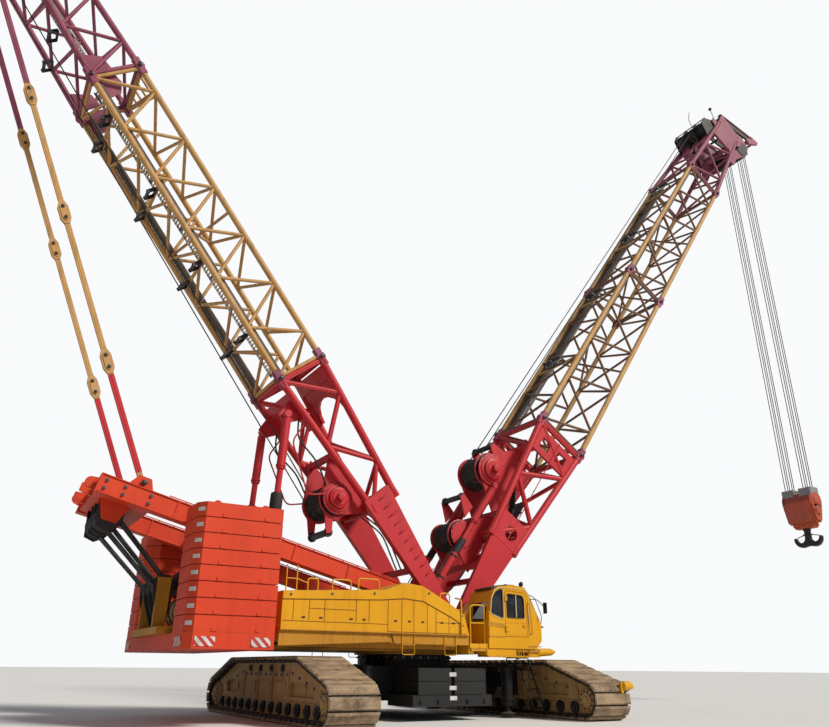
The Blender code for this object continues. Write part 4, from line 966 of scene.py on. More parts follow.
for name, at, sizes, finish, body, slot in sections:
    paths = lacing(at, *sizes)
    if "insert" in name:
        s0, s1, _, (w, _), (d, _), _, lace, offset = sizes
        for s in ((s0 + s1) / 2, s0 + lace):
            paths += diagonal_frame(at, s, w, d, lace * 0.9, offset)
        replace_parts(pipes(name + "_tubes", paths[:4], finish, body, slot, 14), name)
        # On the boom inserts the lacing takes the painted shade colour; elsewhere it keeps its section's
        # paint.
        pipes(name + "_lacing", paths[4:], SHADED_LACE if body == "boom" else finish, body, slot, 12)
    else:
        pipes(name + "_tubes", paths, finish, body, slot, 14)


def eyes(at, joints, w, d, offset, near):
    """Forged eyes and pins where two sections meet: the shapes of the eyes and the places of the pins."""
    shapes, pins = [], []
    for s in joints:
        for sy in (-1, 1):
            for sn in (-1, 1):
                y, n = sy * w, sn * d + offset
                for s0, s1 in ((s - 0.32, s - 0.02), (s + 0.02, s + 0.32)):
                    shapes.append(box(s0, s1, y - near, y + near, n - near, n + near, at))
                ring = [(s + u, n + v) for u, v in arc(0, 0, near * 1.5, 0, 330, 12)]
                for across in (y - near * 0.7, y, y + near * 0.7):
                    shapes.append(plate(ring, across - 0.03, across + 0.03, at))
                for side in (1, -1):
                    pins.append((at(s, y + side * sy * near, n), (0, side * sy, 0), tuple(at.s)))
    return shapes, pins


joint_pin = [turned([(-0.1, 0.055), (0.05, 0.055), (0.055, 0.075), (0.075, 0.075), (0.085, 0.06)],
                    sides=16)]
for body, at, joints, w, d, offset, near in (
    ("boom", BOOM, BOOM_JOINTS, BOOM_W, BOOM_D, BOOM_OFF, 0.125),
    ("mast", MAST, MAST_JOINTS, MAST_W, MAST_D, 0.0, 0.11),
):
    shapes, pins = eyes(at, joints, w, d, offset, near)
    piece(body + "_section_eyes", shapes, PURPLE, body, "tip_purple", 0.01)
    repeat(body + "_section_pins", joint_pin, pins, DARK_STEEL, body, "sheave_black")


# ------------------------------------------------------------------ walkways along boom and mast
# Galvanised gratings on angle brackets run along the rear faces, with grey planks beside the chords, and
# small rope rollers on cross bars keep the hoist ropes off the lacing.
GALVANISED = bare_steel("galvanised_grating", (0.24, 0.22, 0.20), 0.5, 0.5)


def walkway(name, at, s0, s1, y0, y1, n, body):
    """A grating of cross slats between two edge angles, on brackets."""
    half = (y1 - y0) / 2
    slats = [(at(s, (y0 + y1) / 2, n), tuple(at.n), (0, 1, 0)) for s in np.arange(s0, s1, 0.12)]
    slat = [box(-half, half, -0.012, 0.012, -0.02, 0.02)]
    repeat(name + "_slats", slat, slats, GALVANISED, body, "rod_steel")
    edges = [box(s0 - 0.05, s1 + 0.05, y - 0.012, y + 0.012, n - 0.04, n + 0.04, at) for y in (y0, y1)]
    edges += [box(s, s + 0.06, y0, y1, n - 0.07, n - 0.02, at) for s in np.arange(s0, s1, 1.9)]
    piece(name + "_edges", edges, GALVANISED, body, "rod_steel")


def pair(side, first, second):
    """Two distances out to one side of the centre line, the lower first."""
    return sorted((side * first, side * second))


walkway("mast_walkway", MAST, 9.8, 20.9, -0.98, -0.42, 0.70, "mast")
PLANK = enamel(
    "grey_planks", (0.17, 0.14, 0.115), (0.24, 0.21, 0.18), 0.7, 0.5, 0.4, 0.6, (0.06, 0.045, 0.035),
)
for body, at, s0, s1, w, n in (
    ("mast", MAST, 9.7, 20.9, MAST_W, MAST_D), ("boom", BOOM, 9.0, 29.2, BOOM_W, BOOM_D + BOOM_OFF),
):
    planks = []
    for sy in (-1, 1):
        for s in np.arange(s0, s1 - 1.0, 1.87):
            planks.append(box(s, s + 1.85, *pair(sy, w - 0.36, w - 0.06), n - 0.22, n - 0.19, at))
            planks.append(box(s, s + 1.85, *pair(sy, w - 0.09, w - 0.06), n - 0.24, n - 0.08, at))
    piece(body + "_planks", planks, PLANK, body, "insert_ochre", 0.006)
walkway("mast_tip_walkway", MAST, 21.3, 26.5, -0.95, -0.45, 0.55, "mast")
walkway("boom_walkway", BOOM, 9.2, 29.2, 0.55, 1.05, 0.92, "boom")

rope_roller = [
    turned([(-0.2, 0.05), (-0.2, 0.075), (-0.14, 0.055), (0.14, 0.055), (0.2, 0.075), (0.2, 0.05)],
           (0, 0, 0.2), (1, 0, 0.2), 16),
    box(-0.25, -0.22, -0.06, 0.06, -0.08, 0.26), box(0.22, 0.25, -0.06, 0.06, -0.08, 0.26),
    box(-0.25, 0.25, -0.05, 0.05, -0.10, -0.07),
]
MAST_BARS, BOOM_BARS = (11.3, 14.1, 16.9, 19.7), (12.6, 17.7, 22.8, 27.9)
for body, at, marks, y, n in (
    ("mast", MAST, (*MAST_BARS, 23.0), 0.75, MAST_D + 0.14), ("boom", BOOM, BOOM_BARS, 0.3, BOOM_D + 0.10),
):
    places = [(at(s, side * y, n), tuple(at.n), (0, 1, 0)) for s in marks for side in (-1, 1)]
    repeat(body + "_rope_rollers", rope_roller, places, DARK_STEEL, body, "sheave_black")
for body, at, marks, w, n in (
    ("mast", MAST, MAST_BARS, MAST_W, MAST_D + 0.02), ("boom", BOOM, BOOM_BARS, BOOM_W, BOOM_D - 0.02),
):
    bars = [box(s - 0.05, s + 0.05, -w, w, n - 0.04, n + 0.04, at) for s in marks]
    piece(body + "_roller_bars", bars, OCHRE, body, "insert_ochre", 0.008)


# ------------------------------------------------------------------ winches
# Each winch is a grooved drum between flanges, with a planetary gearbox and a hydraulic motor bolted outside
# its cheek. The rope lies in close turns from flange to flange.
def winding():
    """A round rope laid in a helix."""
    tree = Tree("rope_winding", {"Turns": "Float", "Drum": "Float", "Rope": "Float", "Length": "Float",
                                 "Finish": "Material"})
    coil = tree.node(
        "GeometryNodeCurveSpiral", None,
        {"Resolution": 24, "Rotations": tree.given("Turns"), "Start Radius": tree.given("Drum"),
         "End Radius": tree.given("Drum"), "Height": tree.given("Length")},
    )
    ring = tree.node(
        "GeometryNodeCurvePrimitiveCircle", None, {"Resolution": 6, "Radius": tree.given("Rope")},
    )
    drawn = tree.node(
        "GeometryNodeCurveToMesh", None, {"Curve": coil, "Profile Curve": ring, "Fill Caps": True},
    )
    smooth = tree.node("GeometryNodeSetShadeSmooth", None, {"Geometry": drawn, "Shade Smooth": True})
    return tree.end(smooth)


WINDING = winding()


def wind(name, centre, half, drum, rope, body):
    """Rope wound on a drum whose shaft lies along Y."""
    empty = bpy.data.meshes.new(name)
    values = {"Turns": half / rope, "Drum": drum * SCALE, "Rope": rope * SCALE, "Length": 2 * half * SCALE,
              "Finish": ROPE}
    made = WINDING.grow(name, empty, values, None, None)
    made.data.transform(Matrix.Rotation(math.radians(-90), 4, "X"))
    made.data.transform(Matrix.Translation(model_point(centre) - Vector((0, half * SCALE, 0))))
    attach(made, body)


def winch_flanges(centre, half, r):
    """Flanges with a turned rim, on both ends of a drum."""
    c = np.asarray(centre, float)
    profile = [(-0.015, 0.1), (-0.015, r), (0.02, r + 0.03), (0.06, r + 0.03), (0.08, r - 0.02), (0.09, 0.1)]
    shapes = []
    for sy in (-1, 1):
        out = c + (0, sy * (half - 0.085), 0)
        shapes.append(turned(profile, out, out + (0, sy, 0), 40))
    return shapes


def gearbox(centre, side, reach, r):
    """Planetary gearbox and motor outside the winch's cheek, or a flat cover where the reach is small."""
    c = np.asarray(centre, float)
    steps = [(0.0, r * 0.2), (0.0, r)]
    if reach < FLAT_REACH:
        steps += [(0.012, r), (0.016, r * 0.9), (0.026, r * 0.88), (0.03, r * 0.3)]
    else:
        steps += [(0.05, r), (0.06, r * 0.86), (0.10, r * 0.84), (0.11, r * 0.66), (0.2, r * 0.64),
                  (0.22, r * 0.5), (reach, r * 0.46), (reach, r * 0.25), (reach + 0.16, r * 0.25),
                  (reach + 0.17, r * 0.1)]
    return [turned(steps, c, c + (0, side, 0), 32)]


def bolt_circle(centre, side, r, count):
    """Places of a ring of bolt heads that face along Y."""
    c = np.asarray(centre, float)
    turns = np.linspace(0, 2 * math.pi, count + 1)[:-1]
    return [(c + (r * math.cos(a), 0, r * math.sin(a)), (0, side, 0), (1, 0, 0), 0.6) for a in turns]


WOUND_ROPE_R, FLAT_REACH = 0.03, 0.1
winches = (
    ("hoist_winch_1", BOOM(2.9, 0, 1.12), 0.60, 0.40, 0.52, 0.68, 0.03, "hoist_drum_1", "boom"),
    ("hoist_winch_2", BOOM(5.75, 0, 1.45), 0.60, 0.50, 0.66, 0.68, 0.24, "hoist_drum_2", "boom"),
    ("mast_winch", MAST(5.25, 0, 1.20), 0.74, 0.42, 0.56, 0.82, 0.24, "mast_drum", "mast"),
    ("rear_winch", (-7.2, 0, 3.62), 0.74, 0.30, 0.42, 0.82, 0.24, "rear_drum", "upper"),
)
for name, centre, half, core, flange, cheek, reach, drum, frame_body in winches:
    paint, slot = (ORANGE, "weight_orange") if frame_body == "upper" else (RED, "boom_red")
    wind(name + "_rope", centre, half - 0.10, core + 0.035, WOUND_ROPE_R, drum)
    wind(name + "_rope_2", centre, half - 0.13, core + 0.087, WOUND_ROPE_R, drum)
    piece(name + "_flanges", winch_flanges(centre, half, flange), paint, drum, slot)
    drives, bolts = [], []
    for side, drive_share, bolt_share in ((-1, 0.92, 0.87), (1, 0.6, 0.55)):
        hub = np.asarray(centre, float) + (0, side * (cheek + 0.002), 0)
        drives += gearbox(hub, side, reach, flange * drive_share)
        seat = hub + (0, side * min(reach * 0.4, 0.05), 0)
        bolts += bolt_circle(seat, side, flange * bolt_share, 14)
    piece(name + "_gearboxes", drives, paint, frame_body, slot, 0.004)
    repeat(name + "_bolts", bolt_head, bolts, STEEL, frame_body, "rod_steel")


# ------------------------------------------------------------------ hoist ropes, falls and reeving
# Wire rope runs from the boom winch over the guide sheaves, hangs from the head in two groups of falls to
# the hook block, and the gantry is reeved to the deck with short heavy parts.
HEAD = BOOM(36.0, 0, -1.62)
HEAD_PITCH_R, FALL_GAP = 0.42, 0.03
FALL_X = float(HEAD[0]) + HEAD_PITCH_R + FALL_GAP
HOOK_TOP = 9.87
RUN_R = 0.022
falls = []
for sy in (-1, 1):
    for i in range(5):
        y = sy * 0.5 + (i - 2) * 0.125
        x = FALL_X + (0.018 if i % 2 else -0.018)
        heights = np.linspace(float(HEAD[2]) - 0.02, HOOK_TOP - 0.12, 12)
        falls.append(([(x, y, z) for z in heights], 0.021))
fall_ropes = pipes("hoist_fall_ropes", falls, ROPE, None, "rope_steel", 8)
tuple(model_point((FALL_X, 0, HEAD[2])))
tuple(model_point((FALL_X, 0, HOOK_TOP)))
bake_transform(fall_ropes)
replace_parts(fall_ropes, "hoist_falls_right", "hoist_falls_left")

runs = [([BOOM(5.6, y, 2.0), BOOM(34.6, y, 1.65)], RUN_R) for y in (-0.34, 0.30)]
for y in (-0.34, 0.30):
    path = [BOOM(34.6 + 0.37 * math.sin(a), y, 1.27 + 0.37 * math.cos(a)) for a in np.linspace(0, 1.9, 9)]
    runs.append((path + [BOOM(36.35, y, -1.40)], RUN_R))
pipes("boom_hoist_ropes", runs, ROPE, "boom", "rope_steel", 8)
runs = [([MAST(5.2, y, 1.70), MAST(28.55, y, 1.02), MAST(29.75, y, 0.33)], RUN_R) for y in (0.35, -0.35)]
pipes("mast_winch_ropes", runs, ROPE, "mast", "rope_steel", 8)


def spool(length, rim, core, flange):
    """Profile of a flanged rope roller, to be turned."""
    neck = flange + 0.04
    return [(0, 0.05), (0, rim), (flange, rim), (neck, core), (length - neck, core), (length - flange, rim),
            (length, rim), (length, 0.05)]


deflector = [turned(spool(1.0, 0.16, 0.12, 0.06), MAST(28.55, -0.5, 0.88), MAST(28.55, 0.5, 0.88), 20)]
deflector += [box(28.45, 28.65, y, y + 0.06, 0.45, 0.95, MAST) for y in (-0.56, 0.50)]
piece("mast_deflector", deflector, DARK_STEEL, "mast", "sheave_black", 0.006)

LOW_SHEAVE, HIGH_SHEAVE = (-8.08, 3.42), GANTRY(10.15, 0, 0.58)
reeving = []
for y in (-0.66, -0.56, -0.46, -0.36, 0.36, 0.46, 0.56, 0.66):
    for dx in (-0.24, 0.24):
        start = np.array((LOW_SHEAVE[0] + dx, y, LOW_SHEAVE[1]))
        stop = np.array((float(HIGH_SHEAVE[0]) + dx * 1.25, y * 1.2, float(HIGH_SHEAVE[2])))
        reeving.append(([start + (stop - start) * t for t in np.linspace(0, 1, 7)], 0.032))
gantry_ropes = pipes("gantry_reeving", reeving, ROPE, None, "rope_steel", 8)
tuple(model_point((LOW_SHEAVE[0], 0, LOW_SHEAVE[1])))
tuple(model_point((HIGH_SHEAVE[0], 0, HIGH_SHEAVE[2])))
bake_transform(gantry_ropes)


# ------------------------------------------------------------------ counterweight fittings
# Each side carries eight cast slabs on a welded tray, lifted by lugs on their tops and keyed by blocks
# between the layers. Warning boards with slanting bands stand at the tray's ends; name plates are blank.
def banded():
    """White board with slanting red bands, painted through a mask."""
    finish = Finish("banded_board", Roughness=0.5)
    place = finish.node("ShaderNodeTexCoord", out=3)
    x, y, z = (finish.node("ShaderNodeSeparateXYZ", None, {"Vector": place}, axis) for axis in range(3))
    band = finish.node("ShaderNodeMath", {"operation": "FRACT"}, {0: (x + z + y) * 9.0}) > 0.5
    dirt = finish.ramp(finish.noise(finish.place(), 12.0, 5), 0.45, 0.8)
    tint = finish.mix((0.62, 0.60, 0.56), (0.50, 0.02, 0.02), band)
    finish.set("Base Color", finish.mix(tint, (0.10, 0.08, 0.06), dirt * 0.45))
    finish.bump(dirt, 0.1, 0.002)
    return finish.mat


BANDED = banded()
SLABS_Z, SLAB_H, SLAB_COUNT, STACK_Y = 2.16, 0.391, 8, 3.70
boards, lugs, keys, labels = [], [], [], []
for sy in (-1, 1):
    for x0, x1 in ((-6.45, -5.95), (-7.85, -7.35)):
        boards.append(box(x0, x1, *pair(sy, STACK_Y - 0.018, STACK_Y), 1.84, 2.06))
    boards.append(box(-8.10, -8.082, *pair(sy, 2.75, 3.35), 1.84, 2.06))
    top = SLABS_Z + SLAB_H * SLAB_COUNT
    for x in (-7.55, -6.25):
        for y in (sy * 2.3, sy * 3.35):
            lug = [(x - 0.14, top - 0.02), (x + 0.14, top - 0.02)] + arc(x, top, 0.11, 0, 180, 9)
            lugs.append(plate(lug, y - 0.025, y + 0.025))
            lugs.append(box(x - 0.2, x + 0.2, y - 0.1, y + 0.1, top - 0.01, top + 0.02))
    for i in range(SLAB_COUNT):
        low = SLABS_Z + SLAB_H * i
        for x in (-7.4, -6.3):
            keys.append(box(x - 0.07, x + 0.07, *pair(sy, 3.66, STACK_Y), low + 0.015, low + 0.10))
        for y in (sy * 2.4, sy * 3.3):
            keys.append(box(-5.87, -5.83, y - 0.07, y + 0.07, low + 0.015, low + 0.10))
        spot = (-7.992, sy * 3.537, low + 0.2)
        labels.append((spot, (-0.841, sy * 0.541, 0), (-0.541 * sy, -0.841, 0), 0.9))
piece("warning_boards", boards, BANDED, "upper", "weight_orange")
piece("slab_lugs", lugs, ORANGE, "upper", "weight_orange", 0.01)
piece("slab_keys", keys, ORANGE, "upper", "weight_orange", 0.008)
repeat("slab_plates", label, labels, BLANK, "upper", "weight_orange")

tank_straps = [
    turned(hoop(0.372, 0.385, 0.06), (-7.5, y - 0.03, 2.75), (-7.5, y + 1, 2.75), 32)
    for y in (-1.3, -0.86, -0.42)
]
tank_straps.append(turned(
    [(0, 0.08), (0.08, 0.08), (0.08, 0.05), (0.1, 0.05)], (-7.5, -1.1, 3.1), (-7.5, -1.1, 4), 16,
))
piece("tank_straps", tank_straps, DARK_STEEL, "upper", "sheave_black", 0.004)


# ------------------------------------------------------------------ machinery house fittings
# The houses are folded sheet on a frame, with lift-off doors between seams, a raised band along the roof,
# louvres for the radiator, and hoops of bent tube along the roof edge for whoever walks up there.
HOUSE_Y = 3.18
ROOF = [(-5.52, 3.27), (-2.44, 3.45), (-1.82, 3.68), (-1.2, 3.62), (-0.16, 3.11), (0.26, 2.87)]
BAND_FOOT = [(-5.52, 3.06), (-2.6, 3.17), (-1.85, 3.24), (-1.2, 3.20), (-0.2, 2.78), (0.22, 2.56)]
# Painted shade: a dark brown yellow laid along the door seams and in a strip under the roof band, where shade
# falls.
SEAM_SHADE = enamel(
    "seam_shadow", (0.13, 0.05, 0.006), (0.18, 0.07, 0.01), 0.7, 0.2, 0.1, 0.4, (0.05, 0.02, 0.005),
)
HOOPS = ((-4.80, -4.50, 0.30), (-4.07, -3.50, 0.26), (-3.27, -2.62, 0.28), (-0.55, -0.22, 0.16))
band, seam_shades, pulls, hoops, skirts, catches = [], [], [], [], [], []


def roof_z(x, line=ROOF):
    return float(np.interp(x, [p[0] for p in line], [p[1] for p in line]))


for sy in (-1, 1):
    out, y = (0, sy, 0), sy * 3.1
    seam = pair(sy, HOUSE_Y, HOUSE_Y + 0.004)
    eaves = [(x, z - 0.012) for x, z in ROOF]
    under = [(x, z - 0.018) for x, z in BAND_FOOT[::-1]]
    band.append(plate(eaves + BAND_FOOT[::-1], *pair(sy, HOUSE_Y, HOUSE_Y + 0.022)))
    # Painted shadow of the roof band, in a strip under its foot.
    seam_shades.append(plate(BAND_FOOT + under, *pair(sy, HOUSE_Y, HOUSE_Y + 0.012)))
    for x in (-5.2, -4.75, -4.3, -3.35, -2.95, -2.35, -1.9, -1.5, -1.05, -0.75, -0.3, 0.05):
        low = 2.55 if x < -2.4 else 2.33
        seam_shades.append(box(x - 0.008, x + 0.008, *seam, low, roof_z(x, BAND_FOOT) - 0.02))
    for x0, x1, z in ((-5.5, -2.35, 2.52), (-2.35, 0.3, 2.33), (-4.75, -3.35, 2.85), (-0.75, 0.05, 2.62)):
        seam_shades.append(box(x0, x1, *seam, z - 0.008, z + 0.008))
    for x in (-4.9, -4.4, -3.5, -3.1, -2.1, -1.65, -1.2, -0.55, -0.15):
        pulls.append(((x, sy * HOUSE_Y, 2.62), out, (1, 0, 0)))
    for x0, x1, rise in HOOPS:
        z = max(roof_z(x0), roof_z(x1)) + rise
        hoops.append((bent([
            (x0, y, roof_z(x0) - 0.1), (x0, y, z), (x1, y, z), (x1, y, roof_z(x1) - 0.1),
        ], 0.08), 0.021))
    for x in (-5.42, -5.12):
        hoops.append(([(x, y, roof_z(x) - 0.1), (x, y, 3.95)], 0.018))
    hoops.append((bent([(-5.42, y, 3.6), (-5.12, y, 3.6), (-4.80, y, 3.5)], 0.05), 0.015))
    # The skirts take the painted shade yellow, for the shade under the house's side.
    skirts.append(plate([(-5.54, 2.30), (-2.4, 2.30), (-2.2, 2.06), (-5.54, 1.90)], *pair(sy, 3.10, 3.13)))
    skirts.append(plate([(-2.2, 2.30), (0.40, 2.30), (0.44, 2.02), (-2.1, 2.02)], *pair(sy, 3.10, 3.14)))
    skirts.append(box(-5.54, 0.40, *pair(sy, 3.10, 3.22), 2.285, 2.31))
    y = sy * 3.17
    for x0, x1 in ((-1.87, -1.47), (-0.45, -0.05)):
        hoops.append((bent([(x0, y, 2.28), (x0, y, 1.74), (x1, y, 1.74), (x1, y, 2.28)], 0.05), 0.012))
        hoops.append(([(x0, y, 2.0), (x1, y, 2.0)], 0.010))
    for x in (-5.3, -4.1, -2.8, -1.0, 0.15):
        catches.append(((x, sy * (HOUSE_Y + 0.02), roof_z(x) - 0.1), out, (1, 0, 0), 0.8))
piece("house_roof_bands", band, YELLOW, "upper", "body_yellow", 0.006)
piece("house_seams", seam_shades, SEAM_SHADE, "upper", "body_yellow")
piece("house_skirts", skirts, SHADED_YELLOW, "upper", "body_yellow", 0.008)
pull = [box(-0.05, 0.05, -0.02, 0.02, 0.0, 0.006), box(-0.035, 0.035, -0.008, 0.008, 0.005, 0.025)]
repeat("house_pulls", pull, pulls, RUBBER, "upper", "sheave_black")
repeat("house_catches", bolt_head, catches, STEEL, "upper", "rod_steel")
pipes("house_hoops", hoops, YELLOW, "upper", "body_yellow", 12)

vane = [prism(
    [world(x, y, 0.0) for x, y in ((-0.32, -0.02), (0.32, -0.02), (0.32, 0.03), (-0.32, 0.03))],
    [world(x, y, z) for x, y, z in (
        (-0.30, 0.018, 0.03), (0.30, 0.018, 0.03), (0.30, 0.03, 0.0), (-0.30, 0.03, 0.0))],
)]
VANE_PITCH = 0.055
vanes = [((-3.9, 3.181, z), (0, 1, 0), (1, 0, 0)) for z in np.arange(2.64, 3.02, VANE_PITCH)]
for y in (-2.56, 2.56):
    vanes += [((-5.521, y, z), (-1, 0, 0), (0, 1, 0)) for z in np.arange(2.45, 3.12, VANE_PITCH)]
repeat("house_louvres", vane, vanes, YELLOW, "upper", "body_yellow")

exhaust = [
    turned([(0, 0.16), (0.04, 0.19), (0.62, 0.19), (0.68, 0.14), (0.70, 0.08)],
           (-3.9, 2.5, 3.33), (-3.9, 2.5, 5), 24),
    turned(hoop(0.05, 0.065, 0.42), (-3.9, 2.5, 4.0), (-3.9, 2.5, 5), 16),
]
piece("exhaust", exhaust, DARK_STEEL, "upper", "sheave_black", 0.004)
engine = [
    box(-4.8, -4.0, 2.2, 2.9, 3.12, 3.2), box(-3.8, -3.1, 2.25, 2.85, 3.12, 3.22),
    turned([(0, 0.2), (0.05, 0.24), (0.3, 0.24), (0.34, 0.16)], (-2.5, 2.55, 2.75), (-1, 2.55, 2.75), 24),
]
engine += [rod((x, 2.3, 3.1), (x, 2.3, 3.25), 0.05) for x in (-4.6, -4.2, -3.8, -3.4, -3.0)]
piece("engine_heads", engine, DARK_STEEL, "upper", "sheave_black", 0.01)
motor = [(0, 0.24), (0.06, 0.27), (0.35, 0.25), (0.36, 0.17), (0.62, 0.15), (0.64, 0.09), (0.75, 0.09)]
drives = [turned(motor, (x, y, 2.26), (x, y, 4), 28) for x, y in ((1.0, -0.8), (1.0, 0.8), (-1.0, 0.75))]
piece("slew_motors", drives, SHADED_YELLOW, "upper", "body_yellow", 0.006)
lines = []
for i in range(6):
    y = -0.9 + i * 0.12
    lines.append((bent([
        (-2.4, y + 0.2, 2.31), (-0.6, y + 0.2, 2.31), (0.2, y * 0.5, 2.42), (0.75, y * 0.4, 2.6),
    ], 0.25, 6), 0.026))
pipes("deck_hoses", lines, RUBBER, "upper", "sheave_black", 8)


# ------------------------------------------------------------------ gangway and steps
# A tread-plate gangway bridges the gap from the house to the cab, with rails of bent tube round it, steps
# under the cab, and an air receiver on brackets beneath the cab's nose.
walk = [box(0.46, 1.10, -3.14, -2.0, 2.02, 2.06), box(0.46, 1.10, -3.16, -3.13, 1.96, 2.08)]
for x in np.arange(0.5, 1.08, 0.09):
    for y in np.arange(-3.08, -2.05, 0.09):
        walk.append(box(x, x + 0.045, y, y + 0.014, 2.058, 2.065))
walk += [box(0.44, 0.62, -3.10, -2.1, 1.80, 2.02), box(0.44, 1.12, -2.05, -1.97, 1.9, 2.1)]
walk += [
    box(1.04, 2.16, -3.17, -2.7, 1.74, 1.955), box(1.06, 2.14, -3.18, -3.165, 1.76, 1.92),
    box(1.04, 2.16, -3.25, -2.7, 1.72, 1.76), box(2.3, 2.75, -3.05, -2.3, 1.72, 1.76),
    box(2.28, 2.32, -3.05, -2.3, 1.72, 1.96), box(2.72, 2.76, -3.05, -2.3, 1.72, 1.96),
]
for x in (0.44, 0.8, 1.06):
    walk.append(box(x, x + 0.03, -3.17, -3.15, 1.95, 2.10))
piece("gangway", walk, YELLOW, "upper", "body_yellow", 0.006)
rails = [
    ([(0.12, -3.22, 2.3), (0.12, -3.22, 3.30), (0.12, -2.9, 3.36)], 0.1, 0.022),
    ([(0.50, -3.12, 2.04), (0.50, -3.12, 3.12), (0.62, -3.12, 3.18), (1.02, -3.12, 3.18),
      (1.02, -3.12, 2.04)], 0.07, 0.022),
    ([(1.08, -2.05, 2.1), (1.08, -2.05, 3.1), (0.60, -2.05, 3.1), (0.60, -2.05, 2.1)], 0.07, 0.022),
    ([(2.22, -3.2, 1.98), (2.22, -3.23, 1.75), (2.30, -3.23, 1.75), (2.30, -3.2, 1.98)], 0.04, 0.013),
    ([(2.40, -3.2, 1.98), (2.40, -3.23, 1.75), (2.70, -3.23, 1.75), (2.70, -3.2, 1.98)], 0.04, 0.013),
    ([(1.16, -3.21, 3.0), (1.10, -3.27, 3.0), (1.10, -3.27, 2.25), (1.14, -3.21, 2.25)], 0.04, 0.016),
    ([(2.66, -3.21, 3.3), (2.68, -3.28, 3.3), (2.74, -3.28, 2.4), (2.72, -3.21, 2.4)], 0.04, 0.016),
]
rails = [(bent(points, corner), radius) for points, corner, radius in rails]
rails.append(([(0.50, -3.12, 2.66), (1.02, -3.12, 2.66)], 0.018))
pipes("gangway_rails", rails, YELLOW, "upper", "body_yellow", 12)
receiver = [
    turned([(0, 0.02), (0.02, 0.10), (0.06, 0.125), (0.12, 0.13), (0.85, 0.105), (0.92, 0.085), (0.96, 0.04),
            (1.02, 0.04), (1.03, 0.02)], (2.85, -2.95, 1.86), (3.86, -2.95, 1.90), 28),
    box(3.0, 3.2, -3.05, -2.85, 1.73, 1.78),
    plate([(2.7, 1.95), (3.1, 1.78), (3.0, 1.73), (2.7, 1.73)], -3.1, -2.2),
]
piece("air_receiver", receiver, YELLOW, "upper", "body_yellow", 0.005)


# ------------------------------------------------------------------ cab fittings
# The cab is pressed steel with tinted panes in rubber gaskets, pale trims round the side panes, two hatches
# in the roof, lamps over them, and wipers and mirrors on tube brackets at the front.
TRIM = enamel("pale_trim", (0.66, 0.50, 0.22), (0.72, 0.60, 0.34), 0.45, 0.2, 0.2, 0.3, (0.2, 0.12, 0.04))
QUARTER = [(1.25, 2.98), (1.30, 3.40), (1.42, 3.60), (1.58, 3.68), (1.67, 3.68), (1.67, 2.84)]
LEFT_WIN = [(1.32, 2.85), (1.38, 3.40), (1.62, 3.66), (2.50, 3.64), (2.62, 3.50), (2.95, 2.85)]
DOOR_WIN = [(1.84, 2.86), (1.84, 3.50), (1.90, 3.56), (2.44, 3.52), (2.50, 3.42), (2.50, 2.86)]


def gasket(outline, y, r):
    """A closed path round a pane, which starts halfway along one side."""
    ring = [np.array((x, y, z)) for x, z in outline]
    seam = (ring[0] + ring[-1]) / 2
    return bent([seam] + ring + [seam], 0.05, 4), r


pipes("door_gasket", [gasket(DOOR_WIN, -3.205, 0.018)], RUBBER, "door", "sheave_black", 8)
pipes("cab_gaskets", [gasket(QUARTER, -3.203, 0.016), gasket(LEFT_WIN, -1.977, 0.018)],
      RUBBER, "upper", "sheave_black", 8)
wide = [(1.20, 2.94), (1.25, 3.42), (1.38, 3.65), (1.56, 3.74), (1.72, 3.73), (1.72, 2.79)]
trims = [gasket(wide, -3.205, 0.014)]
trims.append(([(1.72, -3.205, 3.74), (2.54, -3.205, 3.71), (2.68, -3.205, 3.56), (2.68, -3.205, 2.3)], 0.014))
pipes("cab_trims", trims, TRIM, "upper", "body_yellow", 8)
pipes("door_bar", [([(2.19, -3.208, 2.87), (2.19, -3.208, 3.53)], 0.018)], TRIM, "door", "body_yellow", 8)
door_parts = [
    box(1.79, 2.57, -3.207, -3.199, 2.70, 2.72), box(1.79, 2.57, -3.206, -3.199, 2.36, 2.37),
    box(2.44, 2.54, -3.235, -3.20, 2.60, 2.66),
]
piece("door_pressings", door_parts, YELLOW, "door", "body_yellow", 0.004)

screen, screen_len = Line.between((3.155, 2.73), (2.725, 3.57))
SCREEN_Y = (-3.13, -2.05)
glazing = [([screen(s, y, -0.035) for y in SCREEN_Y], 0.02) for s in (0.02, screen_len - 0.02)]
glazing += [([screen(s, y, -0.035) for s in (0.02, screen_len - 0.02)], 0.02) for y in SCREEN_Y]
pipes("screen_gasket", glazing, RUBBER, "upper", "sheave_black", 8)
bracket = [(3.19, -3.12, 2.66), (3.34, -3.12, 2.62), (3.34, -2.06, 2.62), (3.19, -2.06, 2.66)]
grab = [(2.74, -3.16, 3.58), (3.0, -3.16, 3.50), (3.24, -3.16, 2.95), (3.20, -3.16, 2.72)]
front_tubes = [
    ([screen(0.0, -2.6, -0.06), screen(0.7, -2.82, -0.055)], 0.010),
    ([screen(0.25, -2.95, -0.05), screen(0.86, -2.60, -0.05)], 0.009),
    (bent(bracket, 0.05), 0.014),
    (bent([(2.76, -3.21, 3.45), (2.95, -3.35, 3.42), (3.22, -3.38, 3.18)], 0.06), 0.013),
    (bent([(2.76, -1.97, 3.45), (2.95, -1.85, 3.42), (3.22, -1.82, 3.18)], 0.06), 0.013),
    (bent(grab, 0.08), 0.012),
]
pipes("cab_wipers", front_tubes, DARK_STEEL, "upper", "sheave_black", 8)
mirrors = []
for y in (-3.39, -1.81):
    mirrors.append(prism(*(
        [world(x, y + u * half_w, 3.18 + v * half_h) for u, v in ((-1, -1), (1, -1), (1, 1), (-1, 1))]
        for x, half_w, half_h in ((3.20, 0.09, 0.17), (3.235, 0.07, 0.15))
    )))
lamps = []
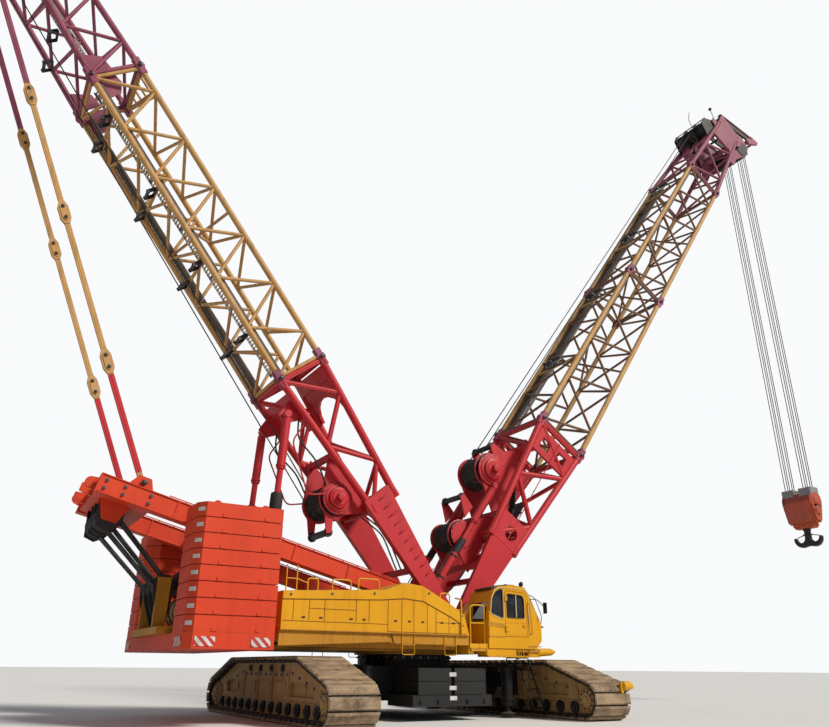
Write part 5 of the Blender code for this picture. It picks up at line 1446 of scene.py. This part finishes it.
for y in (-3.0, -2.18):
    lamps.append(turned(
        [(0, 0.03), (0.05, 0.08), (0.10, 0.085), (0.105, 0.07)], (2.52, y, 3.91), (2.72, y, 3.88), 20,
    ))
    lamps.append(box(2.54, 2.58, y - 0.02, y + 0.02, 3.78, 3.88))
piece("cab_mirrors", mirrors + lamps, DARK_STEEL, "upper", "sheave_black", 0.006)
hatch = []
for x0, x1, z0, z1 in ((1.36, 1.72, 3.70, 3.80), (1.90, 2.26, 3.82, 3.835)):
    lid = ((x0, -3.05, z0), (x1, -3.05, z1), (x1, -2.13, z1), (x0, -2.13, z0))
    hatch.append(prism(*([world(x, y, z + rise) for x, y, z in lid] for rise in (-0.01, 0.035))))
piece("cab_hatches", hatch, DARK_STEEL, "upper", "sheave_black", 0.01)
shell = [
    plate([(1.10, 2.60), (1.12, 2.72), (1.75, 2.66), (1.75, 2.54)], -3.206, -3.198),
    box(2.62, 3.14, -3.212, -3.198, 2.02, 2.05), box(1.14, 1.74, -3.212, -3.198, 2.28, 2.31),
    plate([(1.16, 3.10), (1.22, 3.32), (1.10, 3.30), (0.80, 2.98), (0.80, 2.66), (1.13, 2.66)], -2.35, -2.0),
]
piece("cab_pressings", shell, SHADED_YELLOW, "upper", "body_yellow", 0.005)
console = [
    box(2.45, 2.85, -3.05, -2.85, 2.02, 2.62), box(2.45, 2.95, -2.40, -2.1, 2.02, 2.70),
    box(2.78, 2.98, -2.98, -2.2, 2.02, 2.25), rod((2.65, -2.95, 2.6), (2.62, -2.95, 2.85), 0.02, 12),
    rod((2.65, -2.25, 2.7), (2.62, -2.25, 2.92), 0.02, 12),
    rod((2.6, -2.25, 2.92), (2.6, -2.25, 2.98), 0.035, 12),
    rod((2.62, -2.95, 2.84), (2.6, -2.95, 2.92), 0.035, 12), box(2.5, 2.56, -2.95, -2.75, 2.75, 2.95),
]
piece("cab_console", console, RUBBER, "upper", "sheave_black", 0.012)


# ------------------------------------------------------------------ driver's seat
# A sprung seat: foam cushions under woven cloth on a steel pan, with arm rests that carry the levers, on a
# bellows-covered pedestal bolted to the cab floor.
CUSHION_PINCH, CUSHION_CUTS = 0.05, 12


def cushion(low, high, crown):
    """A closed pad that swells at its middle and pulls in along its sides between the corners."""
    low, high = np.asarray(low, float), np.asarray(high, float)
    mid, half = (low + high) / 2, (high - low) / 2
    bm = bmesh.new()
    bmesh.ops.create_cube(bm, size=2.0)
    bmesh.ops.subdivide_edges(bm, edges=bm.edges[:], cuts=CUSHION_CUTS, use_grid_fill=True)
    pts = []
    for v in bm.verts:
        c = np.array(v.co)
        c = c / np.sum(np.abs(c) ** 7) ** (1 / 7)
        swell = np.array([1.0, 1.0, 1.0])
        thin = int(np.argmin(half))
        others = [i for i in range(3) if i != thin]
        rise = np.prod([1 - min(abs(c[i]), 1.0) ** 2 for i in others])
        swell[thin] += crown * rise
        for i, j in (others, others[::-1]):
            swell[i] -= CUSHION_PINCH * (1 - min(abs(c[j]), 1.0) ** 2)
        pts.append(mid + half * c * swell)
    bm.verts.index_update()
    faces = [tuple(v.index for v in f.verts) for f in bm.faces]
    bm.free()
    return pts, faces


pads = [
    cushion((1.66, -2.84, 2.365), (2.21, -2.34, 2.485), 0.35),
    cushion((1.545, -2.82, 2.52), (1.68, -2.36, 2.92), 0.35),
    cushion((1.535, -2.76, 2.96), (1.655, -2.42, 3.22), 0.3),
    cushion((1.72, -2.925, 2.60), (2.18, -2.85, 2.655), 0.2),
    cushion((1.72, -2.335, 2.60), (2.18, -2.26, 2.655), 0.2),
]
seat_pads = piece("seat_pads", pads, SEAT, "upper", "seat_fabric")
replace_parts(seat_pads, "operator_seat")
seat_frame = [
    box(1.64, 2.18, -2.80, -2.38, 2.33, 2.37), box(1.76, 2.08, -2.70, -2.48, 2.012, 2.04),
    box(1.53, 1.56, -2.78, -2.40, 2.36, 3.16), box(1.74, 2.14, -2.91, -2.865, 2.56, 2.60),
    box(1.74, 2.14, -2.32, -2.275, 2.56, 2.60), box(1.76, 1.80, -2.90, -2.84, 2.36, 2.58),
    box(1.76, 1.80, -2.34, -2.28, 2.36, 2.58),
]
FOLDS, FOLD_H = 5, 0.029
narrow, broad = (1.80, 2.04, -2.68, -2.50), (1.76, 2.08, -2.71, -2.47)
for i in range(FOLDS):
    z = 2.04 + 2 * i * FOLD_H
    seat_frame.append(tapered((*narrow, z), (*broad, z + FOLD_H)))
    seat_frame.append(tapered((*broad, z + FOLD_H), (*narrow, z + 2 * FOLD_H)))
for y in (-2.89, -2.30):
    seat_frame.append(rod((2.16, y, 2.62), (2.19, y, 2.80), 0.014, 10))
    knob = [(0, 0.02), (0.02, 0.034), (0.06, 0.034), (0.08, 0.02)]
    seat_frame.append(turned(knob, (2.185, y, 2.78), (2.21, y, 3.0), 14))
piece("seat_frame", seat_frame, RUBBER, "upper", "sheave_black", 0.006)


# ------------------------------------------------------------------ sheaves
# Sheaves are cast wheels with a grooved rim, packed side by side on one pin; here each rim stands proud of
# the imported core.
SHEAVE = bare_steel("greased_sheave", (0.028, 0.027, 0.027), 0.5, 0.4)


def rims(name, centre, half, r, count, body):
    """A row of grooved rims on a pin along Y."""
    c = np.asarray(centre, float)
    thick = 2 * half / count
    groove = ((0.0, 0.0), (0.12, 0.0), (0.42, 0.05), (0.46, 0.05), (0.76, 0.0), (0.88, 0.0))
    profile = [(0.0, r * 0.62)] + [(thick * share, r - deep) for share, deep in groove]
    rim = [turned(profile + [(thick * 0.88, r * 0.62)], sides=28)]
    places = [(c + (0, -half + thick * (i + 0.06), 0), (0, 1, 0), (1, 0, 0)) for i in range(count)]
    repeat(name, rim, places, SHEAVE, body, "sheave_black")


rims("head_rims", HEAD, 0.86, 0.445, 10, "boom")
rims("guide_rims", BOOM(34.6, 0, 1.27), 0.84, 0.385, 6, "boom")
rims("mast_rims", MAST(29.75, 0, -0.1), 0.92, 0.425, 8, "mast")
rims("gantry_rims_low", (LOW_SHEAVE[0], 0, LOW_SHEAVE[1]), 0.76, 0.285, 8, "upper")
rims("gantry_rims_high", HIGH_SHEAVE, 0.94, 0.365, 8, "gantry")


# ------------------------------------------------------------------ boom head
# The head is a plated frame for two rope paths, with a nose of parallel beams over the hoist sheaves and
# dark side brackets that hold the guide sheaves on its back, a wind gauge on top and a lamp.
nose, brackets, rods, bolts = [], [], [], []
for y in (-1.02, -0.36, 0.36, 1.02):
    beam = [(36.15, 0.88), (36.45, 0.92), (37.55, -1.75), (37.25, -1.80)]
    brackets.append(plate(beam, y - 0.05, y + 0.05, BOOM))
for y in (-1.02, 1.02):
    cap = [(36.50, 0.95), (36.56, 0.95), (37.66, -1.75), (37.58, -1.75)]
    tooth = [(37.05, -1.45), (37.75, -1.60), (37.92, -2.28), (37.70, -2.30), (36.95, -1.75)]
    cheek = [(35.5, 0.84), (36.5, 0.90), (36.3, -1.10), (35.7, -1.28), (35.35, -1.05)]
    nose.append(plate(cap, y - 0.11, y + 0.11, BOOM))
    nose.append(plate(tooth, y - 0.07, y + 0.07, BOOM))
    nose.append(plate(cheek, y * 1.13 - 0.02, y * 1.13 + 0.02, BOOM))
    for s, n in ((35.7, 0.5), (35.75, -0.9), (36.15, 0.55), (36.1, -0.8)):
        bolts.append((BOOM(s, y * 1.155, n), (0, math.copysign(1, y), 0), tuple(BOOM.s), 0.8))
for s, n in ((36.35, 0.80), (36.85, -0.35), (37.25, -1.25), (37.78, -2.1)):
    brackets.append(rod(BOOM(s, -1.08, n), BOOM(s, 1.08, n), 0.07, 16))
nose.append(box(36.9, 37.3, -1.0, 1.0, -1.72, -1.55, BOOM))
for y in (-1.02, -0.34, 0.34, 1.02):
    upper = [(33.7, 0.80), (34.2, 1.70), (34.75, 1.78), (35.3, 1.25), (35.5, 0.80)]
    lower = [(35.4, -1.0), (36.2, -0.9), (36.55, -1.62), (36.05, -2.05), (35.45, -1.72)]
    brackets.append(plate(upper, y - 0.018, y + 0.018, BOOM))
    brackets.append(plate(lower, y - 0.02, y + 0.02, BOOM))
for s, n in ((34.25, 1.66), (34.9, 1.68), (36.45, -1.75), (35.55, -1.75)):
    brackets.append(rod(BOOM(s, -1.03, n), BOOM(s, 1.03, n), 0.03, 12))
rods.append((bent([BOOM(35.9, -0.9, 0.9), BOOM(36.1, -0.9, 1.3), BOOM(36.35, -0.9, 1.6)], 0.2), 0.02))
rods.append(([BOOM(36.4, 0.95, 0.9), BOOM(36.8, 0.95, 1.0)], 0.02))
rods.append((bent([BOOM(34.0, -0.5, 1.7), BOOM(34.3, -0.5, 2.3), BOOM(34.9, -0.5, 2.5)], 0.15), 0.018))
rods.append(([BOOM(33.4, 0.3, 1.1), BOOM(33.1, 0.3, 1.9)], 0.03))
for y in (-0.9, 0.95):
    rods.append((bent([BOOM(36.3, y, 0.95), BOOM(36.9, y, 0.9), BOOM(37.3, y, -0.6)], 0.1), 0.016))
piece("boom_nose", nose, PURPLE, "boom", "tip_purple", 0.01)
piece("boom_head_brackets", brackets, SHEAVE, "boom", "sheave_black", 0.006)
pipes("boom_head_rods", rods, DARK_STEEL, "boom", "sheave_black", 10)
repeat("boom_head_bolts", bolt_head, bolts, STEEL, "boom", "rod_steel")
cup = [(0, 0.02), (0.01, 0.05), (0.06, 0.06), (0.10, 0.04), (0.11, 0.02)]
gauge = [
    turned(cup, BOOM(36.8, 0.95 + dy, 1.0 + dn), BOOM(38, 0.95 + dy, 1.0 + dn), 14)
    for dy, dn in ((0, 0), (0.14, 0.05), (-0.12, 0.1))
]
gauge.append(turned(
    [(0, 0.05), (0.03, 0.09), (0.14, 0.09), (0.16, 0.07)], BOOM(36.35, -0.9, 1.55), BOOM(36.35, -0.9, 3), 20,
))
piece("wind_gauge", gauge, DARK_STEEL, "boom", "sheave_black", 0.003)


# ------------------------------------------------------------------ hook block and hook
# The block is a stack of sheaves between heavy cheeks, weighted with bolted plates, with rope guards on top
# and a forged double hook on a shank that turns in its crosshead.
BLOCK = enamel(
    "block_enamel", (0.50, 0.085, 0.03), (0.27, 0.07, 0.09), 0.5, 0.4, 0.7, 0.55, (0.10, 0.03, 0.03),
)
GUARD = enamel(
    "grey_guards", (0.22, 0.22, 0.23), (0.30, 0.30, 0.30), 0.5, 0.3, 0.3, 0.4, (0.05, 0.045, 0.04),
)
SHEAVE_Z, WEIGHT_Z = HOOK_TOP - 0.40, 8.95
frame["nodes"]["hook_block"].data.materials[0] = BLOCK
cheeks, guards, bolts = [], [], []
for sy in (-1, 1):
    for y, r in ((0.72, 0.50), (0.40, 0.46)):
        centre = np.array((FALL_X, sy * y, SHEAVE_Z))
        cheek = [(0, 0.1), (0, r), (0.03, r + 0.01), (0.05, r), (0.06, r * 0.45), (0.12, r * 0.42),
                 (0.13, r * 0.3), (0.15, 0.08)]
        cheeks.append(turned(cheek, centre, centre + (0, sy, 0), 30))
    side = [(FALL_X + x, z) for x, z in ((-0.42, 9.25), (0.42, 9.25), (0.2, 8.45), (-0.2, 8.45))]
    cheeks.append(plate(side, *pair(sy, 0.722, 0.80)))
    cheeks.append(turned([(0, 0.26), (0.03, 0.26), (0.04, 0.2), (0.06, 0.2)],
                         (FALL_X, sy * 0.80, WEIGHT_Z), (FALL_X, sy * 2, WEIGHT_Z), 24))
    bolts += bolt_circle((FALL_X, sy * 0.77, SHEAVE_Z), sy, 0.36, 8)
    bolts += bolt_circle((FALL_X, sy * 0.83, WEIGHT_Z), sy, 0.23, 6)
    for x in (-0.34, 0.34):
        guards.append(box(FALL_X + x - 0.02, FALL_X + x + 0.02, *pair(sy, 0.16, 0.78), 9.6, 10.12))
    for y in (sy * 0.20, sy * 0.78):
        guard = [(FALL_X + x, z) for x, z in ((-0.34, 9.7), (0.34, 9.7), (0.30, 10.14), (-0.30, 10.14))]
        guards.append(plate(guard, y - 0.012, y + 0.012))
for x in (-0.2, 0.2):
    guards.append(rod((FALL_X + x, -0.74, 9.99), (FALL_X + x, 0.74, 9.99), 0.02, 10))
piece("block_cheeks", cheeks, BLOCK, "block", "weight_orange", 0.006)
piece("block_guards", guards, GUARD, "block", "weight_grey", 0.004)
repeat("block_bolts", bolt_head, bolts, STEEL, "block", "rod_steel")
rims("block_rims", (FALL_X, 0, SHEAVE_Z), 0.62, 0.43, 9, "block")
crosshead = [
    turned([(0, 0.16), (0, 0.26), (0.05, 0.30), (0.12, 0.30), (0.14, 0.24), (0.14, 0.16)],
           (FALL_X, 0, 8.14), (FALL_X, 0, 9), 28),
    box(FALL_X - 0.26, FALL_X + 0.26, -0.55, 0.55, 8.20, 8.36),
]
piece("crosshead", crosshead, BLOCK, "block", "weight_orange", 0.012)
HOOK_Z = HOOK_TOP - 1.75
shank = [(0, 0.13), (0, 0.185), (0.09, 0.19), (0.11, 0.16), (0.22, 0.155), (0.30, 0.17), (0.40, 0.15),
         (0.42, 0.11)]
collar = [turned(shank, (FALL_X, 0, HOOK_Z - 0.01), (FALL_X, 0, HOOK_Z - 1), 24)]
for sy in (-1, 1):
    z = HOOK_Z - 0.30
    collar.append(rod((FALL_X, sy * 0.16, z), (FALL_X, sy * 0.60, z - 0.10), 0.022, 10))
    collar.append(rod((FALL_X - 0.13, sy * 0.17, z), (FALL_X + 0.13, sy * 0.17, z), 0.035, 12))
piece("hook_collar", collar, DARK_STEEL, "hook", "sheave_black", 0.004)


# ------------------------------------------------------------------ gantry and pendants
# The gantry is two box beams with a headframe across their ends; flat pendant links, pinned eye to eye, run
# up from it to the mast head. Their lowest links are painted red and their highest purple.
GANTRY_Y, WEB_Y = 1.62, 0.172
webs, pins, bolts, high_plates, low_plates = [], [], [], [], []
for sy in (-1, 1):
    for side in (-1, 1):
        y = sy * GANTRY_Y + side * WEB_Y
        for s in (1.5, 3.3, 5.1, 6.9, 8.7):
            webs.append(box(s - 0.02, s + 0.02, *sorted((y, y + side * 0.03)), -0.25, 0.24, GANTRY))
        for n in (-0.262, 0.222):
            webs.append(box(1.2, 10.8, *sorted((y, y + side * 0.035)), n, n + 0.03, GANTRY))
    for s in (9.45, 10.15, 10.65):
        for n in (-0.12, 0.10):
            bolts.append((GANTRY(s, sy * 1.80, n), (0, sy, 0), tuple(GANTRY.s), 1.2))
    for y in (sy * 1.05, sy * 1.35):
        lug = [(9.35, -0.25), (9.55, -0.66), (9.90, -0.66), (10.15, -0.25)]
        webs.append(plate(lug, y - 0.03, y + 0.03, GANTRY))
    pins.append((GANTRY(9.72, sy * 1.39, -0.48), (0, sy, 0), tuple(GANTRY.s), 1.1))
    for y in (sy * 0.25, sy * 1.02):
        bracket = [(9.8, 0.2), (9.85, 0.8), (10.1, 1.0), (10.4, 0.95), (10.6, 0.2)]
        high_plates.append(plate(bracket, y - 0.02, y + 0.02, GANTRY))
    nose = [(10.98 + 0.16 * math.cos(a), -0.05 + 0.16 * math.sin(a)) for a in np.linspace(-1.6, 1.6, 9)]
    webs.append(plate([(10.75, -0.25), *nose, (10.75, 0.15)], sy * 1.25 - 0.035, sy * 1.25 + 0.035, GANTRY))
    for y in (sy * 0.28, sy * 0.84):
        bracket = [(-8.34, 3.05), (-8.38, 3.45), (-8.2, 3.72), (-7.95, 3.72), (-7.82, 3.45), (-7.9, 2.6),
                   (-8.1, 2.4)]
        low_plates.append(plate(bracket, y - 0.02, y + 0.02))
piece("gantry_stiffeners", webs, ORANGE, "gantry", "weight_orange", 0.006)
piece("gantry_sheave_plates", high_plates, SHEAVE, "gantry", "sheave_black", 0.006)
piece("deck_sheave_plates", low_plates, SHEAVE, "upper", "sheave_black", 0.006)
repeat("gantry_bolts", bolt_head, bolts, STEEL, "gantry", "rod_steel")
repeat("gantry_pins", joint_pin, pins, DARK_STEEL, "gantry", "sheave_black")
RUNG_Y, RUNG_N = (1.46, 1.78), -0.30
ladder = []
for sy in (-1, 1):
    for s in np.arange(2.0, 9.0, 0.5):
        ladder.append(([GANTRY(s, sy * y, RUNG_N) for y in RUNG_Y], 0.014))
    for y in RUNG_Y:
        ladder.append(([GANTRY(s, sy * y, RUNG_N) for s in (1.8, 9.0)], 0.016))
pipes("gantry_rungs", ladder, ORANGE, "gantry", "weight_orange", 8)

pend_low, mast_eye = GANTRY(9.72, 0, -0.48), MAST(29.72, 0, 0.62)
PENDANT, pendant_len = Line.between((pend_low[0], pend_low[2]), (mast_eye[0], mast_eye[2]))
PENDANT_Y = 1.2
link_pins, red_links, top_links, clasps = [], [], [], []
for sy in (-1, 1):
    mid = sy * PENDANT_Y
    for s in (3.68, 8.45, 12.5):
        for side in (-1, 1):
            y = mid + side * 0.067
            for at_s in (s - 0.18, s + 0.18):
                link_pins.append((PENDANT(at_s, y - side * 0.001, 0), (0, side, 0), tuple(PENDANT.s), 0.7))
            clasp = [(s - 0.30, 0.0), (s - 0.2, 0.10), (s + 0.2, 0.10), (s + 0.30, 0.0), (s + 0.2, -0.10),
                     (s - 0.2, -0.10)]
            clasps.append(plate(clasp, *sorted((y, y + side * 0.02)), PENDANT))
    for links, s0, s1, inset in ((red_links, 0.35, 3.28, 0.0), (top_links, 12.8, pendant_len - 0.3, 0.1)):
        links.append(box(s0, s1, mid - 0.050, mid + 0.050, -0.081, 0.081, PENDANT))
        links.append(box(s0 + inset, s1 - inset, mid - 0.060, mid + 0.060, -0.02, 0.02, PENDANT))
    for s0, s1 in ((4.1, 8.0), (8.9, 12.1)):
        clasps.append(box(s0, s1, mid - 0.052, mid + 0.052, -0.03, 0.03, PENDANT))
piece("pendant_clasps", clasps, OCHRE, "pendants", "insert_ochre", 0.006)
piece("pendant_low_links", red_links, RED, "pendants", "boom_red", 0.008)
piece("pendant_top_links", top_links, PURPLE, "pendants", "tip_purple", 0.008)
repeat("pendant_pins", joint_pin, link_pins, DARK_STEEL, "pendants", "sheave_black")


# ------------------------------------------------------------------ backstops
# Each backstop is a tube on a foot pin with a spring-loaded rod inside, a black sleeve where the two meet,
# and a hose that feeds its damper.
def stop_fittings(name, low, high, y, r, split, proud, barrels, rods):
    """Sleeves, feet, collars and damper hoses of both backstops, on the line from foot to eye."""
    line, length = Line.between(low, high)
    sleeves, collars, hoses, feet = [], [], [], []
    for c in (-y, y):
        end = line(length, c, 0)
        sleeve = [(0, r), (0, r + proud * 0.7), (0.05, r + proud), (0.55, r + proud), (0.60, r + proud * 0.7),
                  (0.60, r)]
        sleeves.append(turned(sleeve, line(split - 0.62, c, 0), end, 28))
        for s in (0.25, 1.0, 1.9):
            sleeves.append(turned(hoop(r, r + proud * 0.5, 0.08), line(s, c, 0), end, 28))
        feet.append(turned(hoop(0.05, r + 0.03, 2 * r), line(0, c - r, 0), line(0, c + r, 0), 24))
        collars.append(turned(hoop(r * 0.7, r * 0.98 + 0.02, 0.06), line(split + 0.82, c, 0), end, 28))
        collars.append(turned(hoop(0.05, r * 0.85, 1.6 * r), line(length, c - r * 0.8, 0),
                              line(length, c + r * 0.8, 0), 24))
        hose = [line(0.3, c, r), line(0.5, c, r + 0.07), line(split - 0.9, c, r + 0.07),
                line(split - 0.6, c, r + 0.04)]
        hoses.append((bent(hose, 0.1), 0.02))
    piece(name + "_sleeves", sleeves, RUBBER, barrels, "sheave_black", 0.004)
    piece(name + "_feet", feet, RED, barrels, "boom_red", 0.006)
    piece(name + "_collars", collars, RED, rods, "boom_red", 0.004)
    pipes(name + "_hoses", hoses, RUBBER, barrels, "sheave_black", 8)


mast_end, boom_end = MAST(8.4, 0, MAST_D + 0.42), BOOM(5.2, 0, 1.10)
stop_fittings("mast_stop", (-5.33, 3.30), (mast_end[0], mast_end[2]), 1.16, 0.14, 3.0, 0.05,
              "mast_stop_barrels", "mast_stop_rods")
stop_fittings("boom_stop", (0.30, 3.35), (boom_end[0], boom_end[2]), 0.86, 0.12, 2.7, 0.012,
              "boom_stop_barrels", "boom_stop_rods")


# ------------------------------------------------------------------ fittings on the boom and mast bases
# The bases are box legs that spread to their foot pins. Between them sit valve blocks, hydraulic lines, rope
# rollers on arms and rungs for the fitter; plates, a comb of tubes and clamps finish the mast's joint.
ROLLER_ARM_Y = 0.62
machinery, rollers, rungs, hoses = [], [], [], []
for s, n in ((6.9, 0.75), (7.25, 0.60), (7.6, 0.78), (7.95, 0.62)):
    for y in (-0.55, 0.55):
        valve = [(0, 0.13), (0.04, 0.16), (0.24, 0.16), (0.26, 0.10), (0.42, 0.09), (0.43, 0.04)]
        machinery.append(turned(valve, BOOM(s, y, n - 0.2), BOOM(s, y, n + 1), 22))
for s in (6.7, 7.8):
    machinery.append(box(s, s + 0.12, -1.2, 1.2, 0.35, 0.50, BOOM))
machinery.append(box(6.9, 7.7, -0.25, 0.25, 0.40, 0.78, BOOM))
for y in (-ROLLER_ARM_Y, ROLLER_ARM_Y):
    for arm in (
        [(3.5, 1.35), (4.00, 1.92), (4.20, 1.88), (4.05, 1.30)],
        [(6.2, 1.5), (6.55, 1.98), (6.75, 1.92), (6.8, 1.35)],
    ):
        machinery.append(plate(arm, y - 0.03, y + 0.03, BOOM))
for s, n in ((4.10, 1.84), (6.65, 1.89)):
    rollers.append(turned(spool(1.16, 0.14, 0.10, 0.08), BOOM(s, -0.58, n), BOOM(s, 0.58, n), 20))
for i in range(5):
    y = -0.5 + i * 0.09
    hose = ((3.0, y, -0.30), (4.2, y, -0.42), (5.4, y * 0.8, -0.30), (6.7, y * 0.8, 0.42))
    hoses.append((bent([BOOM(*p) for p in hose], 0.4, 6), 0.026))
for sy in (-1, 1):
    hose = ((1.6, -0.1), (2.2, -0.2), (3.6, -0.25), (4.4, 0.1))
    hoses.append((bent([BOOM(s, sy * 0.5, n) for s, n in hose], 0.2, 6), 0.028))
    rungs.append(([BOOM(s, sy * 1.47, -0.10) for s in (3.4, 8.4)], 0.018))
    for s in (3.5, 4.7, 5.9, 7.1, 8.3):
        rungs.append(([BOOM(s, sy * y, -0.10) for y in (1.40, 1.47)], 0.014))
    for s in np.arange(1.6, 4.6, 0.32):
        rung = ((1.30, -0.16), (1.38, -0.16), (1.38, 0.16), (1.30, 0.16))
        rungs.append((bent([BOOM(s, sy * y, n) for y, n in rung], 0.03), 0.013))
rollers.append(box(3.3, 6.1, -0.35, 0.35, -0.62, -0.58, BOOM))
for s in np.arange(3.4, 6.0, 0.35):
    rollers.append(box(s, s + 0.03, -0.42, 0.42, -0.66, -0.57, BOOM))
piece("boom_base_machinery", machinery, RED, "boom", "boom_red", 0.008)
piece("boom_base_rollers", rollers, DARK_STEEL, "boom", "sheave_black", 0.006)
pipes("boom_base_rungs", rungs, RED, "boom", "boom_red", 10)
pipes("boom_base_hoses", hoses, RUBBER, "boom", "sheave_black", 8)

hoses, rungs, arms, tie_plates = [], [], [], []
for sy in (-1, 1):
    for s in np.arange(1.6, 4.8, 0.32):
        rung = ((1.30, -0.14), (1.38, -0.14), (1.38, 0.14), (1.30, 0.14))
        rungs.append((bent([MAST(s, sy * y, n) for y, n in rung], 0.03), 0.013))
    rail = ((7.9, 1.1, 0.80), (7.6, 1.1, 1.6), (5.9, 0.92, 2.05), (5.6, 0.92, 1.5))
    hose = ((8.1, 1.0, 0.95), (7.6, 1.0, 1.35), (6.6, 0.9, 1.15), (5.8, 0.86, 1.30))
    rungs.append((bent([MAST(s, sy * y, n) for s, y, n in rail], 0.2, 6), 0.026))
    hoses.append((bent([MAST(s, sy * y, n) for s, y, n in hose], 0.3, 6), 0.03))
    arm = [(5.2, 1.3), (4.45, 1.95), (4.55, 2.11), (5.6, 1.5)]
    arms.append(plate(arm, sy * 0.70 - 0.03, sy * 0.70 + 0.03, MAST))
    for tie in (
        [(20.25, 0.80), (21.05, 0.80), (21.15, 0.05), (20.75, -0.05), (20.35, 0.2)],
        [(21.25, 0.80), (22.0, 0.78), (21.8, 0.1), (21.3, 0.0)],
    ):
        tie_plates.append(plate(tie, *pair(sy, 1.02, 1.05), MAST))
for i in (-1, 0, 1):
    hose = ((1.8, 0.3 * i, 0.2), (3.2, 0.3 * i, -0.1), (4.4, 0.25 * i, 0.35), (5.0, 0.25 * i, 0.6))
    hoses.append((bent([MAST(*p) for p in hose], 0.3, 6), 0.028))
arm_roller = turned(spool(1.34, 0.15, 0.11, 0.08), MAST(4.53, -0.67, 2.00), MAST(4.53, 0.67, 2.00), 20)
comb = [([MAST(20.98, -1.12, -0.88), MAST(20.98, 1.12, -0.88)], 0.06),
        ([MAST(20.95, 1.08, -0.88), MAST(20.0, -1.08, -0.88)], 0.055)]
for y in np.linspace(-0.85, 0.75, 5):
    comb.append(([MAST(20.98, y, -0.88), MAST(20.0 + 0.95 * (y + 1.08) / 2.16, y, -0.88)], 0.04))
piece("mast_roller_arms", arms, RED, "mast", "boom_red", 0.006)
piece("mast_arm_roller", [arm_roller], DARK_STEEL, "mast", "sheave_black", 0.004)
pipes("mast_base_rungs", rungs, RED, "mast", "boom_red", 10)
pipes("mast_base_hoses", hoses, RUBBER, "mast", "sheave_black", 8)
pipes("mast_comb", comb, OCHRE, "mast", "insert_ochre", 10)
piece("mast_tie_plates", tie_plates, PURPLE, "mast", "tip_purple", 0.008)
for body, at, marks, w, n, r0, r1 in (
    ("mast", MAST, (10.4, 20.8, 1.9), MAST_W, -MAST_D, 0.055, 0.082),
    ("boom", BOOM, (9.9, 29.0, 2.4), BOOM_W, BOOM_D + BOOM_OFF, 0.06, 0.09),
):
    clamps = [
        turned(hoop(r0, r1, 0.14), at(s, y, n), at(s + 1, y, n), 20)
        for s in np.arange(*marks) for y in (-w, w)
    ]
    piece(body + "_chord_clamps", clamps, DARK_STEEL, body, "sheave_black", 0.003)
